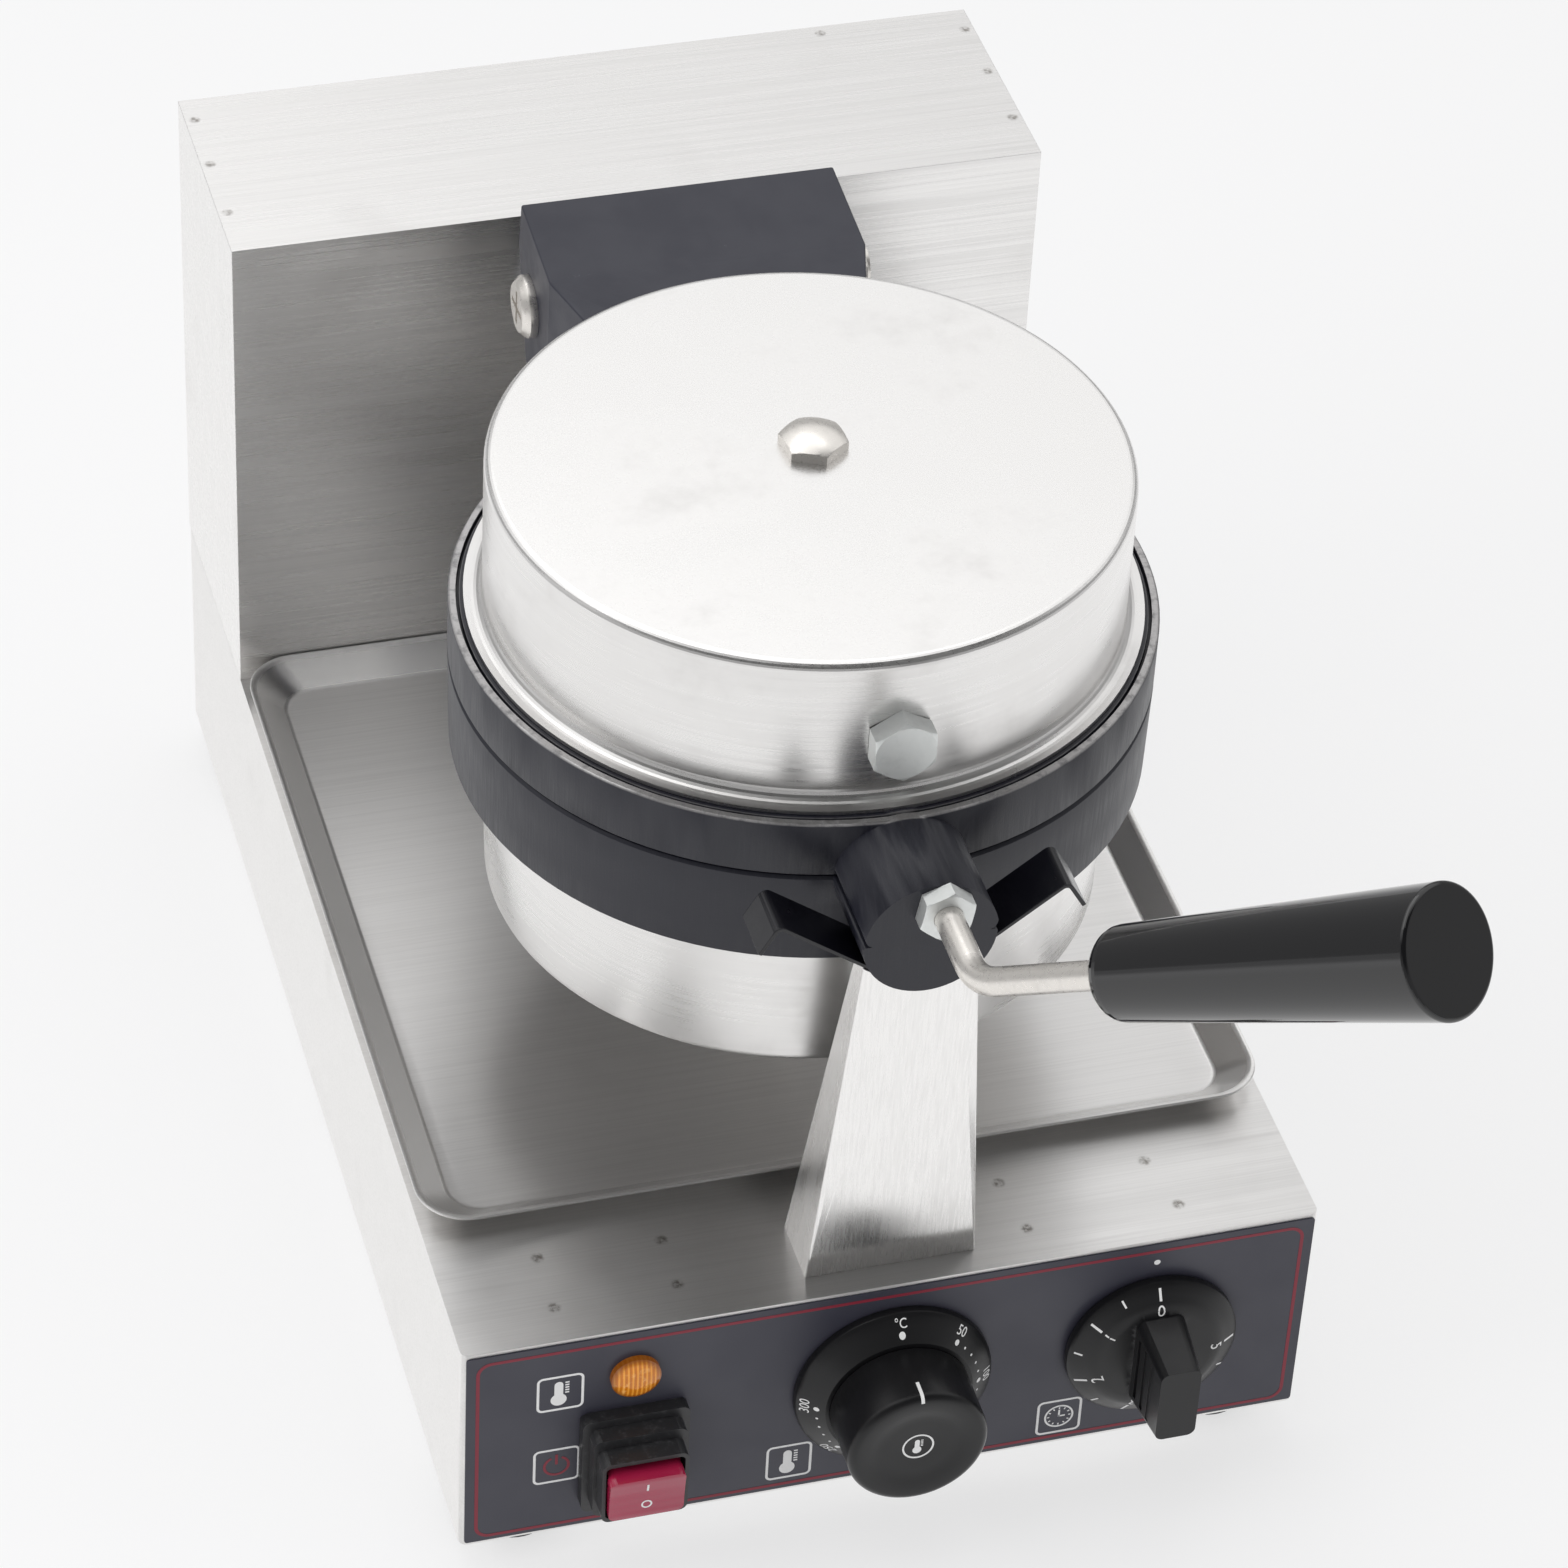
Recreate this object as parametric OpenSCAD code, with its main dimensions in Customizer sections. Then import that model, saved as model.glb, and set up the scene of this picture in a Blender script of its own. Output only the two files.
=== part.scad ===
// Rotary waffle cone maker: a sheet-steel base with a control panel, a rear housing with
// a bearing, and a round baking head of two castings that turns over in the bearing and
// in a saddle on a front stand. Millimetres, +X right, +Y back, +Z up.
// The origin is on the floor under the centre of the baking head.

/* [Base] */
// Width of the base, the housing and the control panel
base_w = 250; // [240:1:280]
// Depth of the base, front panel to back wall
base_d = 382; // [370:1:420]
// Height of the sheet body, without its feet
base_h = 76; // [74:1:100]
// Height of the rubber feet
foot_h = 10; // [8:1:20]
// Radius of a foot at its top
foot_r = 14; // [10:0.5:18]
// Distance of a foot's centre from the sides of the base
foot_inset = 20; // [18:1:40]
// Thickness of the sheet steel
sheet_t = 1.2; // [0.8:0.1:2]
// Radius of the upright corners of the base
corner_r = 2.5; // [2.2:0.1:5]
// Width of the folded lips that the bottom plate is screwed to
lip_w = 12; // [10:1:20]

/* [Rear housing] */
// Depth of the rear housing
housing_d = 81; // [70:1:100]
// Height of the rear housing above the deck
housing_h = 162.5; // [160:0.5:190]
// Radius of the screws that hold the plates
plate_screw_r = 2; // [1.5:0.1:2.5]
// Count of vent slots in the rear cover
vent_count = 9; // [3:1:11]
// Height of a vent slot
vent_h = 4; // [2:0.5:5]

/* [Head] */
// Height of the turning axis above the deck
axis_h = 133.5; // [130:0.5:150]
// Distance of the head's centre behind the front panel
head_y = 122; // [120:1:126]
// Radius of the two castings
casting_r = 99; // [96:0.5:101]
// Height of the upper casting
upper_h = 18; // [17:0.5:22]
// Height of the lower casting, with its skirt
lower_h = 30; // [28:0.5:36]
// Thickness of the baking plate of each casting
plate_t = 8.6; // [7:0.2:10]
// Radius of the baking recess
bake_r = 88; // [80:0.5:90]
// Depth of the recess in each plate
bake_depth = 3.4; // [3.2:0.1:5]
// Height of the ridges that print the wafer
ridge_h = 1; // [0.5:0.1:1.5]
// Width of a ridge
ridge_w = 2; // [1:0.1:3]
// Spacing of the ridges
ridge_pitch = 16; // [12:0.5:24]
// Gap between the closed castings
parting = 0.4; // [0.2:0.1:0.8]

/* [Covers] */
// Radius of the sheet covers
cover_r = 89.5; // [87:0.5:90]
// Height of the upper cover above its casting
upper_cover_h = 46.7; // [40:0.1:50]
// Distance that the lower cover stands out below its casting
lower_cover_h = 47.5; // [40:0.5:50]
// Radius of the rounded edge of the covers
cover_edge_r = 2.5; // [2:0.5:8]
// Radius of the upper cover's flared foot
flare_r = 94.7; // [93:0.1:95]
// Radius of the heating ring
element_ring_r = 62; // [50:1:70]
// Radius of the heating tube
element_r = 4; // [3:0.1:4.5]
// Radius of the cover studs
stud_r = 5; // [4:0.1:6]
// Distance of the upper stud to the right of the middle
upper_stud_x = 2; // [-4:0.5:4]
// Distance of the upper stud behind the middle
upper_stud_y = 6; // [0:0.5:10]
// Width across the flats of the cover nuts and the side bolts
cover_nut_af = 17; // [15:0.5:19]
// Height of the side bolt above the turning axis
side_bolt_up = 38.5; // [34:0.5:44]

/* [Hinge] */
// Distance of the hinge pin behind the head's centre
pin_back = 128; // [127:0.5:130]
// Height of the hinge pin above the turning axis
pin_up = 33.5; // [33:0.5:36]
// Radius of the hinge pin
pin_r = 6; // [5:0.1:7]
// Running clearance of a shaft in its hole
run_clear = 0.05; // [0.02:0.01:0.08]
// Width of the hinge arm over its side walls
arm_w = 94; // [90:1:100]
// Wall thickness of the hinge arm
arm_t = 6; // [5:0.5:6.5]
// Height of the hinge arm's back edge above the turning axis
arm_top = 59.5; // [59:0.5:64]
// Radius of the yoke's barrel on the hinge pin
barrel_r = 15; // [12:0.5:15.5]
// Radius of the hollow pivot shaft
shaft_r = 15; // [13:0.5:15]
// Wall thickness of the hollow pivot shaft
shaft_wall = 4; // [3:0.5:5]
// Radius of the bearing's flange
bearing_flange_r = 38; // [37:0.5:45]
// Thickness of the bearing's flange
bearing_flange_t = 6; // [5:0.5:8]

/* [Stand] */
// Width of the stand at its foot
stand_w = 50; // [44:1:60]
// Width of the stand at its top
stand_top_w = 32; // [30:1:40]
// Depth of the stand at its foot
stand_d = 21; // [18:1:26]
// Depth of the stand at its top
stand_top_d = 7; // [6:0.5:14]
// Distance of the stand's foot behind the front panel
stand_back = 8; // [6:0.5:10]
// Distance that the stand's front leans forward at its top
stand_lean = 6.5; // [5:0.5:8]
// Thickness of the stand's sheet
stand_t = 1.5; // [1:0.1:2]
// Thickness of the black saddle strip
saddle_t = 1.2; // [0.8:0.1:2]
// Width of the saddle strip
saddle_w = 16; // [12:0.5:17]
// Gap between the boss and the saddle
saddle_gap = 0.3; // [0.2:0.1:0.5]
// Slope of the saddle's wings
wing_slope = 37; // [30:1:45]
// Distance from the centre to the fold of a wing
wing_x = 38; // [34:1:44]
// Length of the folded lip of a wing
wing_lip = 8; // [6:0.5:12]

/* [Handle] */
// Radius of the front boss
boss_r = 18.6; // [18:0.1:20]
// Distance that the boss stands in front of the front panel
boss_front = 5; // [4:0.5:8]
// Radius of the handle rod
rod_r = 4; // [3.5:0.1:4.5]
// Height of the handle rod above the turning axis
rod_up = 11.3; // [9:0.1:12]
// Distance of the handle rod to the right of the middle
rod_side = 2.5; // [0:0.1:4]
// Distance from the boss to the corner of the bend
rod_out = 31; // [26:1:40]
// Radius of the rod's bend
bend_r = 16; // [12:1:24]
// Angle of the bend
bend_a = 48.5; // [40:0.5:60]
// Turn of the handle above level, at rest
handle_turn = 47; // [40:0.5:55]
// Distance from the corner of the bend to the grip
grip_start = 48; // [40:1:60]
// Length of the grip
grip_len = 110; // [90:1:130]
// Radius of the grip at its rod end
grip_r1 = 12.6; // [11:0.1:14]
// Radius of the grip at its free end
grip_r2 = 17.2; // [15:0.1:19]
// Width across the flats of the lock nut
lock_nut_af = 14; // [12:0.5:14.5]
// Thickness of the lock nut
lock_nut_t = 5; // [4:0.5:7]

/* [Controls] */
// Thickness of the printed panel overlay
overlay_t = 0.5; // [0.3:0.1:1]
// Margin of bare steel around the overlay
overlay_margin = 1.2; // [0.8:0.1:3]
// Distance from the deck down to the thermostat's shaft
thermo_drop = 37.5; // [34:0.5:40]
// Distance from the deck down to the timer's shaft
timer_drop = 39; // [34:0.5:42]
// Radius of the thermostat's fixed scale ring
scale_r = 29; // [27:0.5:30]
// Height of the scale ring
scale_t = 8; // [6:0.5:9]
// Radius of the thermostat knob
thermo_r = 20.5; // [18:0.1:22]
// Length of the thermostat knob
thermo_len = 19.5; // [16:0.5:26]
// Distance from the centre to the timer shaft
timer_x = 77; // [70:1:80]
// Radius of the timer dial
dial_r = 25.5; // [22:0.5:28]
// Thickness of the timer dial
dial_t = 7.5; // [5:0.5:9]
// Distance that the timer's bar grip stands in front of its dial
bar_len = 19; // [16:0.5:26]
// Width of the bar grip at its front
bar_w = 12; // [10:0.5:14]
// Height of the bar grip at its front
bar_h = 26; // [22:1:30]
// Radius of the knob shafts
knob_shaft_r = 3; // [2.5:0.1:3.5]
// Distance from the centre to the switch and the lamp
switch_x = 75.6; // [72:0.2:80]
// Distance from the deck down to the switch
switch_drop = 48; // [45:0.5:50]
// Distance from the deck down to the lamp
lamp_drop = 17.4; // [16:0.2:18]
// Radius of the lamp lens
lamp_r = 7.2; // [6:0.1:7.5]
// Rest tilt of the rocker
rocker_tilt = 6; // [4:0.5:7]
// Distance that the rocker stands in front of the overlay
rocker_out = 18.5; // [17:0.5:22]

/* [Drip tray] */
// Height of the tray's rim
tray_h = 8; // [6:0.5:12]
// Thickness of the tray's sheet
tray_t = 1; // [0.6:0.1:1.5]
// Distance from the front panel to the tray
tray_back = 44.5; // [42:0.5:60]
// Gap between the tray's rim and the sides of the base
tray_side = 0.3; // [0:0.1:6]
// Width of the flared band of the tray
tray_flare = 10; // [6:0.5:14]
// Radius of the tray's corners
tray_corner_r = 15; // [12:0.5:20]

/* [Cable inlet] */
// Distance from the centre to the cable gland
gland_x = 80; // [60:1:95]
// Height of the cable gland above the floor
gland_z = 46; // [40:1:60]
// Radius of the gland's cable hole
gland_bore_r = 4.5; // [3.5:0.1:5]
// Distance that the gland stands out of the back wall
gland_out = 15.3; // [12:0.1:22]

/* [Hidden] */

$fn = 96;
// Overshoot of a cutting solid past the face it cuts
eps = 0.5;
// Gap between two still pieces that only pass each other
slip = 0.1;

// Levels and faces that every piece is placed by
deck_z = foot_h + base_h;
axis_z = deck_z + axis_h;
front_y = -head_y;
back_y = front_y + base_d;
housing_top = deck_z + housing_h;
boss_y = front_y - boss_front;
pin_z = axis_z + pin_up;
half_gap = parting / 2;
panel_y = front_y - overlay_t;

// Head
plate_out = bake_depth + plate_t;
upper_out = half_gap + upper_h;
lower_out = half_gap + lower_h;
pad_y = casting_r + 2;
pad_w = 70;
arm_inner_w = arm_w - 2 * arm_t;
skirt_r = cover_r + 1.8;
lower_cover_z = -plate_out - 0.4;
lower_cover_end = -lower_out - lower_cover_h;
upper_cover_end = upper_out + upper_cover_h;
stud_seat = 5;
lower_cover_len = lower_cover_z - lower_cover_end;
lower_taper = 1.6;
lower_bolt_down = side_bolt_up + 8;
// The lower bolt seats where its head's upper corner meets the tapered wall
lower_bolt_top = lower_bolt_down - cover_nut_af / sqrt(3) - 1;
lower_bolt_r = cover_r - lower_taper * (lower_bolt_top + lower_cover_z) / (lower_cover_len - cover_edge_r);
nut_h = 5.5;
nut_turn = 36.6;
nut_crown = 2.8;
lock_nut_turn = 10;
clamp_t = 3;
bolt_head_h = 6.4;
bolt_shank = 16;
side_nut_gap = 1.2;

// Hinge and bearing
m6_r = 3;
m6_af = 10;
m6_head = 4;
m6_nut = 5;
m6_end = 3;
arm_bolt_x = 30;
arm_bolt_z = 11;
arm_bolt_bite = 12;
yoke_bolt_x = 28;
yoke_bolt_zs = [8, 22];
yoke_bolt_bite = 9;
pin_nut_af = 16;
pin_nut_h = 5.5;
pin_head_r = 9.3;
pin_head_h = 2.2;
barrel_w = arm_inner_w - 1;
arm_clear_r = cover_r + 3;
web_w = 40;
yoke_w = 44;
yoke_wall = 8;
yoke_hub_r = shaft_r + 6;
yoke_hub_t = 15;
yoke_rise = 12;
washer_t = 1.8;
hub_gap = 0.3;
pin_room = 1;
// The housing starts housing_d before the back, or where the hinge and its bearing leave off
hinge_least = barrel_r + pin_room + yoke_hub_t + hub_gap + washer_t + bearing_flange_t;
housing_y = max(back_y - housing_d, pin_back + hinge_least);
bearing_front = housing_y - bearing_flange_t;
yoke_back = bearing_front - washer_t - hub_gap;
bearing_hub_r = shaft_r + 6;
// The collar and the shaft's end take this room between the bearing and the rear cover
collar_room = 45;
bearing_back = back_y - collar_room;
flange_top = min(bearing_flange_r, housing_top - axis_z - 1);
bearing_pcd_r = 30;
shaft_front = pin_back + 12;
collar_y = bearing_back + 0.6;
collar_t = 12;
collar_r = shaft_r + 8;
shaft_back = collar_y + collar_t + 3;
stop_pin_r = 3;
stop_pin_len = 12;
stop_x = 32;
stop_w = 8;
stop_t = 6;
stop_plate_t = 2;
stop_foot = 50;
stop_gap = 0.3;

// Stand and saddle
saddle_r = boss_r + saddle_gap;
saddle_out_r = saddle_r + saddle_t;
saddle_y = front_y + 2;
stand_top = axis_h + stand_top_w / 2 * tan(wing_slope) - saddle_out_r / cos(wing_slope) + 1;
stand_front = front_y + stand_back;
wing_cut = 60;
fold_r = 2.4;
lip_slope = -60;
stand_screw_x = 12;
stand_screw_r = 2;
stand_screw_y = stand_front + stand_d / 2;
stand_nut_af = 7;
stand_nut_h = 3;

// Controls
thermo_z = deck_z - thermo_drop;
timer_z = deck_z - timer_drop;
switch_z = deck_z - switch_drop;
lamp_z = deck_z - lamp_drop;
scale_rim = 2.4;
scale_y = panel_y - scale_t;
thermo_y = scale_y - 0.5;
dial_back = panel_y - 0.7;
dial_front = dial_back - dial_t;
dial_rim = 2.2;
bush_r = knob_shaft_r + 2;
rocker_w = 21.8;
rocker_face_h = 16.6;
rocker_neck_w = 19.6;
rocker_neck_h = 13;
rocker_pivot_y = panel_y - 6.5;
rocker_front_y = panel_y - rocker_out;
rocker_pin_r = 1.5;
rocker_face_t = 7;
rocker_dish_r = 80;
boot_flange_t = 4;
// Steps of the boot: width, height, and where each starts and ends in front of the overlay
boot_steps = [[31, 36, 0, boot_flange_t], [27, 30, boot_flange_t, 9], [25, 23, 9, 15]];
boot_open_w = rocker_w + 1;
boot_open_h = rocker_face_h + 3.6;
switch_w = 22.6;
switch_body_d = 26;
knob_face_t = 8;
knob_shaft_in = 25;
timer_body_r = 22;
timer_body_d = 36;
thermo_body_w = 40;
thermo_body_h = 34;
thermo_body_d = 34;
lamp_body_d = 22;
switch_h = 27;

// Tray
tray_front = front_y + tray_back;
tray_d = housing_y - 0.5 - tray_front;
tray_w = base_w - 2 * tray_side;

// Handle: the bend is a hair thinner than the rod, and the straight lengths lap over its ends
bend_thin = 0.02;
bend_lap = 0.05;

// Feet and their screws
foot_screw_r = 2.5;
foot_nut_r = 5;
foot_nut_af = 8;
foot_nut_h = 4;
foot_recess = 5;

// Cable gland and terminal block
gland_thread_r = 8;
gland_body_af = 22;
block_x = -60;
block_y = 200;
block_w = 52;
block_d = 16;
block_h = 16;
block_base_t = 5;
block_pitch = 8.6;
block_way_w = 6.8;
block_wire_r = 2;
block_wire_z = 8;
block_screw_x = 23.3;
block_screw_r = 1.5;

// Vents, the wiring's way into the housing, and the rear cover set into the housing
vent_w = 60;
vent_x = 45;
wire_way_w = 110;
wire_way_front = 20;
wire_way_back = 15;
cover_out_y = back_y - 0.2 * sheet_t;
cover_in_y = cover_out_y - sheet_t;

// Plate screws, as [x, z] on the rear cover and as [x, y] on the bottom plate
cover_x = base_w / 2 - sheet_t - 7;
housing_screw_ys = [housing_y + 18, back_y - 22];
cover_screw_zs = [deck_z + 12, deck_z + housing_h / 2, housing_top - 10];
bottom_x = base_w / 2 - sheet_t - lip_w / 2;
bottom_ys = [front_y + 40, (front_y + back_y) / 2, back_y - 40];
foot_x = base_w / 2 - foot_inset;
foot_ys = [front_y + foot_inset, back_y - foot_inset];

// ---- Shared shapes ----

// Points on an arc, for outlines that are turned or extruded
function arc(cx, cy, r, a0, a1, n = 6) =
    [for (i = [0:n]) [cx + r * cos(a0 + (a1 - a0) * i / n), cy + r * sin(a0 + (a1 - a0) * i / n)]];

// A cylinder along Y, between two values of y
module rod_y(r, y0, y1) {
    translate([0, y0, 0]) rotate([-90, 0, 0]) cylinder(r = r, h = y1 - y0);
}

// A cylinder along X, between two values of x
module rod_x(r, x0, x1) {
    translate([x0, 0, 0]) rotate([0, 90, 0]) cylinder(r = r, h = x1 - x0);
}

// A cylinder along Z, between two values of z
module rod_z(r, z0, z1) {
    translate([0, 0, z0]) cylinder(r = r, h = z1 - z0);
}

// A hexagon prism along Y
module hex_y(af, y0, y1) {
    translate([0, y0, 0]) rotate([-90, 30, 0]) cylinder(r = af / sqrt(3), h = y1 - y0, $fn = 6);
}

// A hexagon prism along Z
module hex_z(af, z0, z1) {
    translate([0, 0, z0]) cylinder(r = af / sqrt(3), h = z1 - z0, $fn = 6);
}

// A box between two corners
module block(lo, hi) {
    translate(lo) cube(hi - lo);
}

// A rectangle with round corners, centred
module round_outline(w, d, r) {
    square([w - 2 * r, d], center = true);
    square([w, d - 2 * r], center = true);
    for (x = [-1, 1], y = [-1, 1]) translate([x * (w / 2 - r), y * (d / 2 - r)]) circle(r);
}

// A plate with round corners that stands across Y, between two values of y
module round_plate_y(w, h, r, y0, y1) {
    translate([0, y1, 0]) rotate([90, 0, 0]) linear_extrude(y1 - y0) round_outline(w, h, r);
}

// A pan-head screw along +Z with its head's underside at z = 0 and a cross recess
module pan_screw(r, len) {
    difference() {
        union() {
            rod_z(r, -eps, len);
            translate([0, 0, -1.2 * r]) cylinder(r1 = 1.5 * r, r2 = 2 * r, h = 1.2 * r);
        }
        for (a = [0, 90])
            rotate([0, 0, a]) translate([0, 0, -1.2 * r]) cube([2.2 * r, 0.5 * r, 1.4 * r], center = true);
    }
}

// A bolt along +Y with a hexagon head in front of y = 0
module hex_bolt_y(r, af, head, len) {
    rod_y(r, -eps, len);
    intersection() {
        hex_y(af, -head, 0);
        translate([0, -head, 0]) rotate([-90, 0, 0]) cylinder(r1 = af / 2, r2 = af / 2 + 2 * head, h = head);
    }
}

// Moves children to the turning axis
module on_axis() {
    translate([0, 0, axis_z]) children();
}

// Moves children to the upper stud
module at_upper_stud() {
    translate([upper_stud_x, upper_stud_y, 0]) children();
}

// Moves children to both sides of X = 0
module both_x(x) {
    for (s = [-1, 1]) translate([s * x, 0, 0]) children();
}

// ---- Base ----

// Solid outline of the base body, from one level to another
module base_form(inset, z0, z1) {
    translate([0, (front_y + back_y) / 2, z0])
        linear_extrude(z1 - z0)
            round_outline(base_w - 2 * inset, base_d - 2 * inset, max(corner_r - inset, 0.5));
}

// Holes for the shafts, the lamp and the switch, through the panel
module panel_holes(y0, y1) {
    translate([0, 0, thermo_z]) rod_y(bush_r + slip, y0, y1);
    translate([timer_x, 0, timer_z]) rod_y(bush_r + slip, y0, y1);
    translate([-switch_x, 0, lamp_z]) rod_y(lamp_r - 2 + slip, y0, y1);
    translate([-switch_x, 0, switch_z]) round_plate_y(switch_w + 2 * slip, switch_h + 2 * slip, 1, y0, y1);
}

module base_shell() {
    color("gainsboro") difference() {
        union() {
            difference() {
                base_form(0, foot_h, deck_z);
                base_form(sheet_t, foot_h - eps, deck_z - sheet_t);
            }
            difference() {
                base_form(sheet_t / 2, foot_h + sheet_t, foot_h + 2 * sheet_t);
                base_form(sheet_t + lip_w, foot_h, foot_h + 3 * sheet_t + eps);
            }
        }
        block([-base_w, back_y - sheet_t, 0], [base_w, back_y + eps, deck_z + eps]);
        panel_holes(front_y - eps, front_y + sheet_t + eps);
        block([-wire_way_w / 2, housing_y + wire_way_front, deck_z - 2 * sheet_t],
            [wire_way_w / 2, back_y - wire_way_back, deck_z + eps]);
        both_x(stand_screw_x) translate([0, stand_screw_y, 0])
            rod_z(stand_screw_r + slip, deck_z - 2 * sheet_t, deck_z + eps);
        for (y = bottom_ys) both_x(bottom_x) translate([0, y, 0])
            rod_z(plate_screw_r + slip, foot_h, deck_z / 2);
        for (y = foot_ys) both_x(foot_x) translate([0, y, 0])
            rod_z(foot_nut_r + 1, foot_h, deck_z / 2);
        for (y = housing_screw_ys) both_x(cover_x)
            translate([0, y, 0]) rod_z(plate_screw_r + slip, deck_z - 2 * sheet_t, deck_z + eps);
    }
}

// Plate that is welded in to close the back of the base
module base_back() {
    color("gainsboro") difference() {
        intersection() {
            base_form(0, foot_h, deck_z);
            block([-base_w, back_y - sheet_t, 0], [base_w, back_y, deck_z]);
        }
        translate([-gland_x, 0, gland_z]) rod_y(gland_thread_r + slip, back_y - 2 * sheet_t, back_y + eps);
    }
}

module bottom_plate() {
    color("silver") difference() {
        base_form(sheet_t + 0.3, foot_h, foot_h + sheet_t);
        for (y = bottom_ys) both_x(bottom_x) translate([0, y, 0]) rod_z(plate_screw_r + slip, 0, deck_z / 2);
        for (y = foot_ys) both_x(foot_x) translate([0, y, 0]) rod_z(foot_screw_r + slip, 0, deck_z / 2);
        for (i = [-3:3]) translate([0, (front_y + back_y) / 2 + i * 3 * vent_h, 0])
            block([-vent_w / 2, -vent_h / 2, foot_h - eps], [vent_w / 2, vent_h / 2, foot_h + sheet_t + eps]);
        both_x(block_screw_x) translate([block_x, block_y, 0]) rod_z(block_screw_r + slip, 0, deck_z / 2);
    }
}

module bottom_screws() {
    color("dimgray") for (y = bottom_ys) both_x(bottom_x)
        translate([0, y, foot_h]) pan_screw(plate_screw_r, 6);
}

module feet() {
    color("#202022") for (y = foot_ys) both_x(foot_x) translate([0, y, 0]) difference() {
        cylinder(r1 = foot_r - 2, r2 = foot_r, h = foot_h);
        rod_z(foot_screw_r * 2 + 0.4, -eps, foot_recess);
        rod_z(foot_screw_r + slip, 0, foot_h + eps);
    }
}

module foot_screws() {
    color("dimgray") for (y = foot_ys) both_x(foot_x) translate([0, y, 0]) {
        translate([0, 0, foot_recess]) pan_screw(foot_screw_r, foot_h + 3 * sheet_t + 3 - foot_recess);
        difference() {
            hex_z(foot_nut_af, foot_h + sheet_t, foot_h + sheet_t + foot_nut_h);
            rod_z(foot_screw_r + slip / 2, foot_h, foot_h + sheet_t + foot_nut_h + eps);
        }
    }
}

module panel_overlay() {
    color("#34343c") difference() {
        translate([0, 0, foot_h + base_h / 2])
            round_plate_y(base_w - 2 * overlay_margin, base_h - 2 * overlay_margin, 1, panel_y, front_y);
        panel_holes(panel_y - eps, front_y + eps);
    }
}

// ---- Rear housing ----

module housing_shell() {
    inner = base_w / 2 - sheet_t;
    color("gainsboro") difference() {
        union() {
            difference() {
                block([-base_w / 2, housing_y, deck_z], [base_w / 2, back_y, housing_top]);
                block([-inner, housing_y + sheet_t, deck_z - eps],
                    [inner, back_y + eps, housing_top - sheet_t]);
            }
            difference() {
                block([-inner, cover_in_y - sheet_t, deck_z], [inner, cover_in_y, housing_top - sheet_t]);
                block([-inner + lip_w, back_y - 3 * sheet_t, deck_z - eps],
                    [inner - lip_w, back_y, housing_top - sheet_t - lip_w]);
            }
            both_x(inner - lip_w / 2) block([-lip_w / 2 - eps, housing_y, deck_z],
                [lip_w / 2 + eps, back_y - 2 * sheet_t, deck_z + sheet_t]);
        }
        for (y = housing_screw_ys) both_x(cover_x) translate([0, y, 0])
            rod_z(plate_screw_r + slip, deck_z - eps, deck_z + 2 * sheet_t);
        on_axis() rod_y(bearing_hub_r + 0.3, housing_y - eps, housing_y + 2 * sheet_t);
        bearing_bolt_places() rod_y(m6_r + slip, housing_y - eps, housing_y + 2 * sheet_t);
        for (z = cover_screw_zs) both_x(cover_x)
            translate([0, 0, z]) rod_y(plate_screw_r + slip, back_y - 3 * sheet_t, back_y + eps);
    }
}

module housing_screws() {
    color("dimgray") for (y = housing_screw_ys) both_x(cover_x)
        translate([0, y, deck_z + sheet_t]) mirror([0, 0, 1]) pan_screw(plate_screw_r, 6);
}

module rear_cover() {
    inset = sheet_t + 0.3;
    slot_pitch = 2.4 * vent_h;
    color("gainsboro") difference() {
        block([-base_w / 2 + inset, cover_in_y, deck_z + 0.3],
            [base_w / 2 - inset, cover_out_y, housing_top - inset]);
        for (z = cover_screw_zs) both_x(cover_x)
            translate([0, 0, z]) rod_y(plate_screw_r + slip, back_y - 3 * sheet_t, back_y + eps);
        for (i = [0:vent_count - 1], s = [-1, 1])
            translate([s * vent_x, 0, deck_z + housing_h / 2 + (i - (vent_count - 1) / 2) * slot_pitch])
                round_plate_y(vent_w, vent_h, vent_h / 2 - 0.01, back_y - 3 * sheet_t, back_y + eps);
    }
}

module rear_cover_screws() {
    color("silver") for (z = cover_screw_zs) both_x(cover_x)
        translate([0, cover_out_y, z]) rotate([90, 0, 0]) pan_screw(plate_screw_r, 6);
}

// ---- Cable inlet ----

module cable_gland() {
    color("#1c1c1e") translate([-gland_x, back_y, gland_z]) difference() {
        union() {
            rod_y(gland_thread_r, -12, eps);
            hex_y(gland_body_af, 0, gland_out * 0.35);
            rod_y(gland_body_af / 2 - 0.6, gland_out * 0.3, gland_out * 0.72);
            translate([0, gland_out * 0.72, 0]) rotate([-90, 0, 0])
                cylinder(r1 = gland_body_af / 2 - 0.6, r2 = gland_bore_r + 2, h = gland_out * 0.28);
        }
        rod_y(gland_bore_r, -20, gland_out + eps);
    }
}

module gland_nut() {
    color("#1c1c1e") translate([-gland_x, back_y - sheet_t, gland_z]) difference() {
        hex_y(gland_body_af, -5, 0);
        rod_y(gland_thread_r + slip / 2, -6, eps);
    }
}

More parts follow.
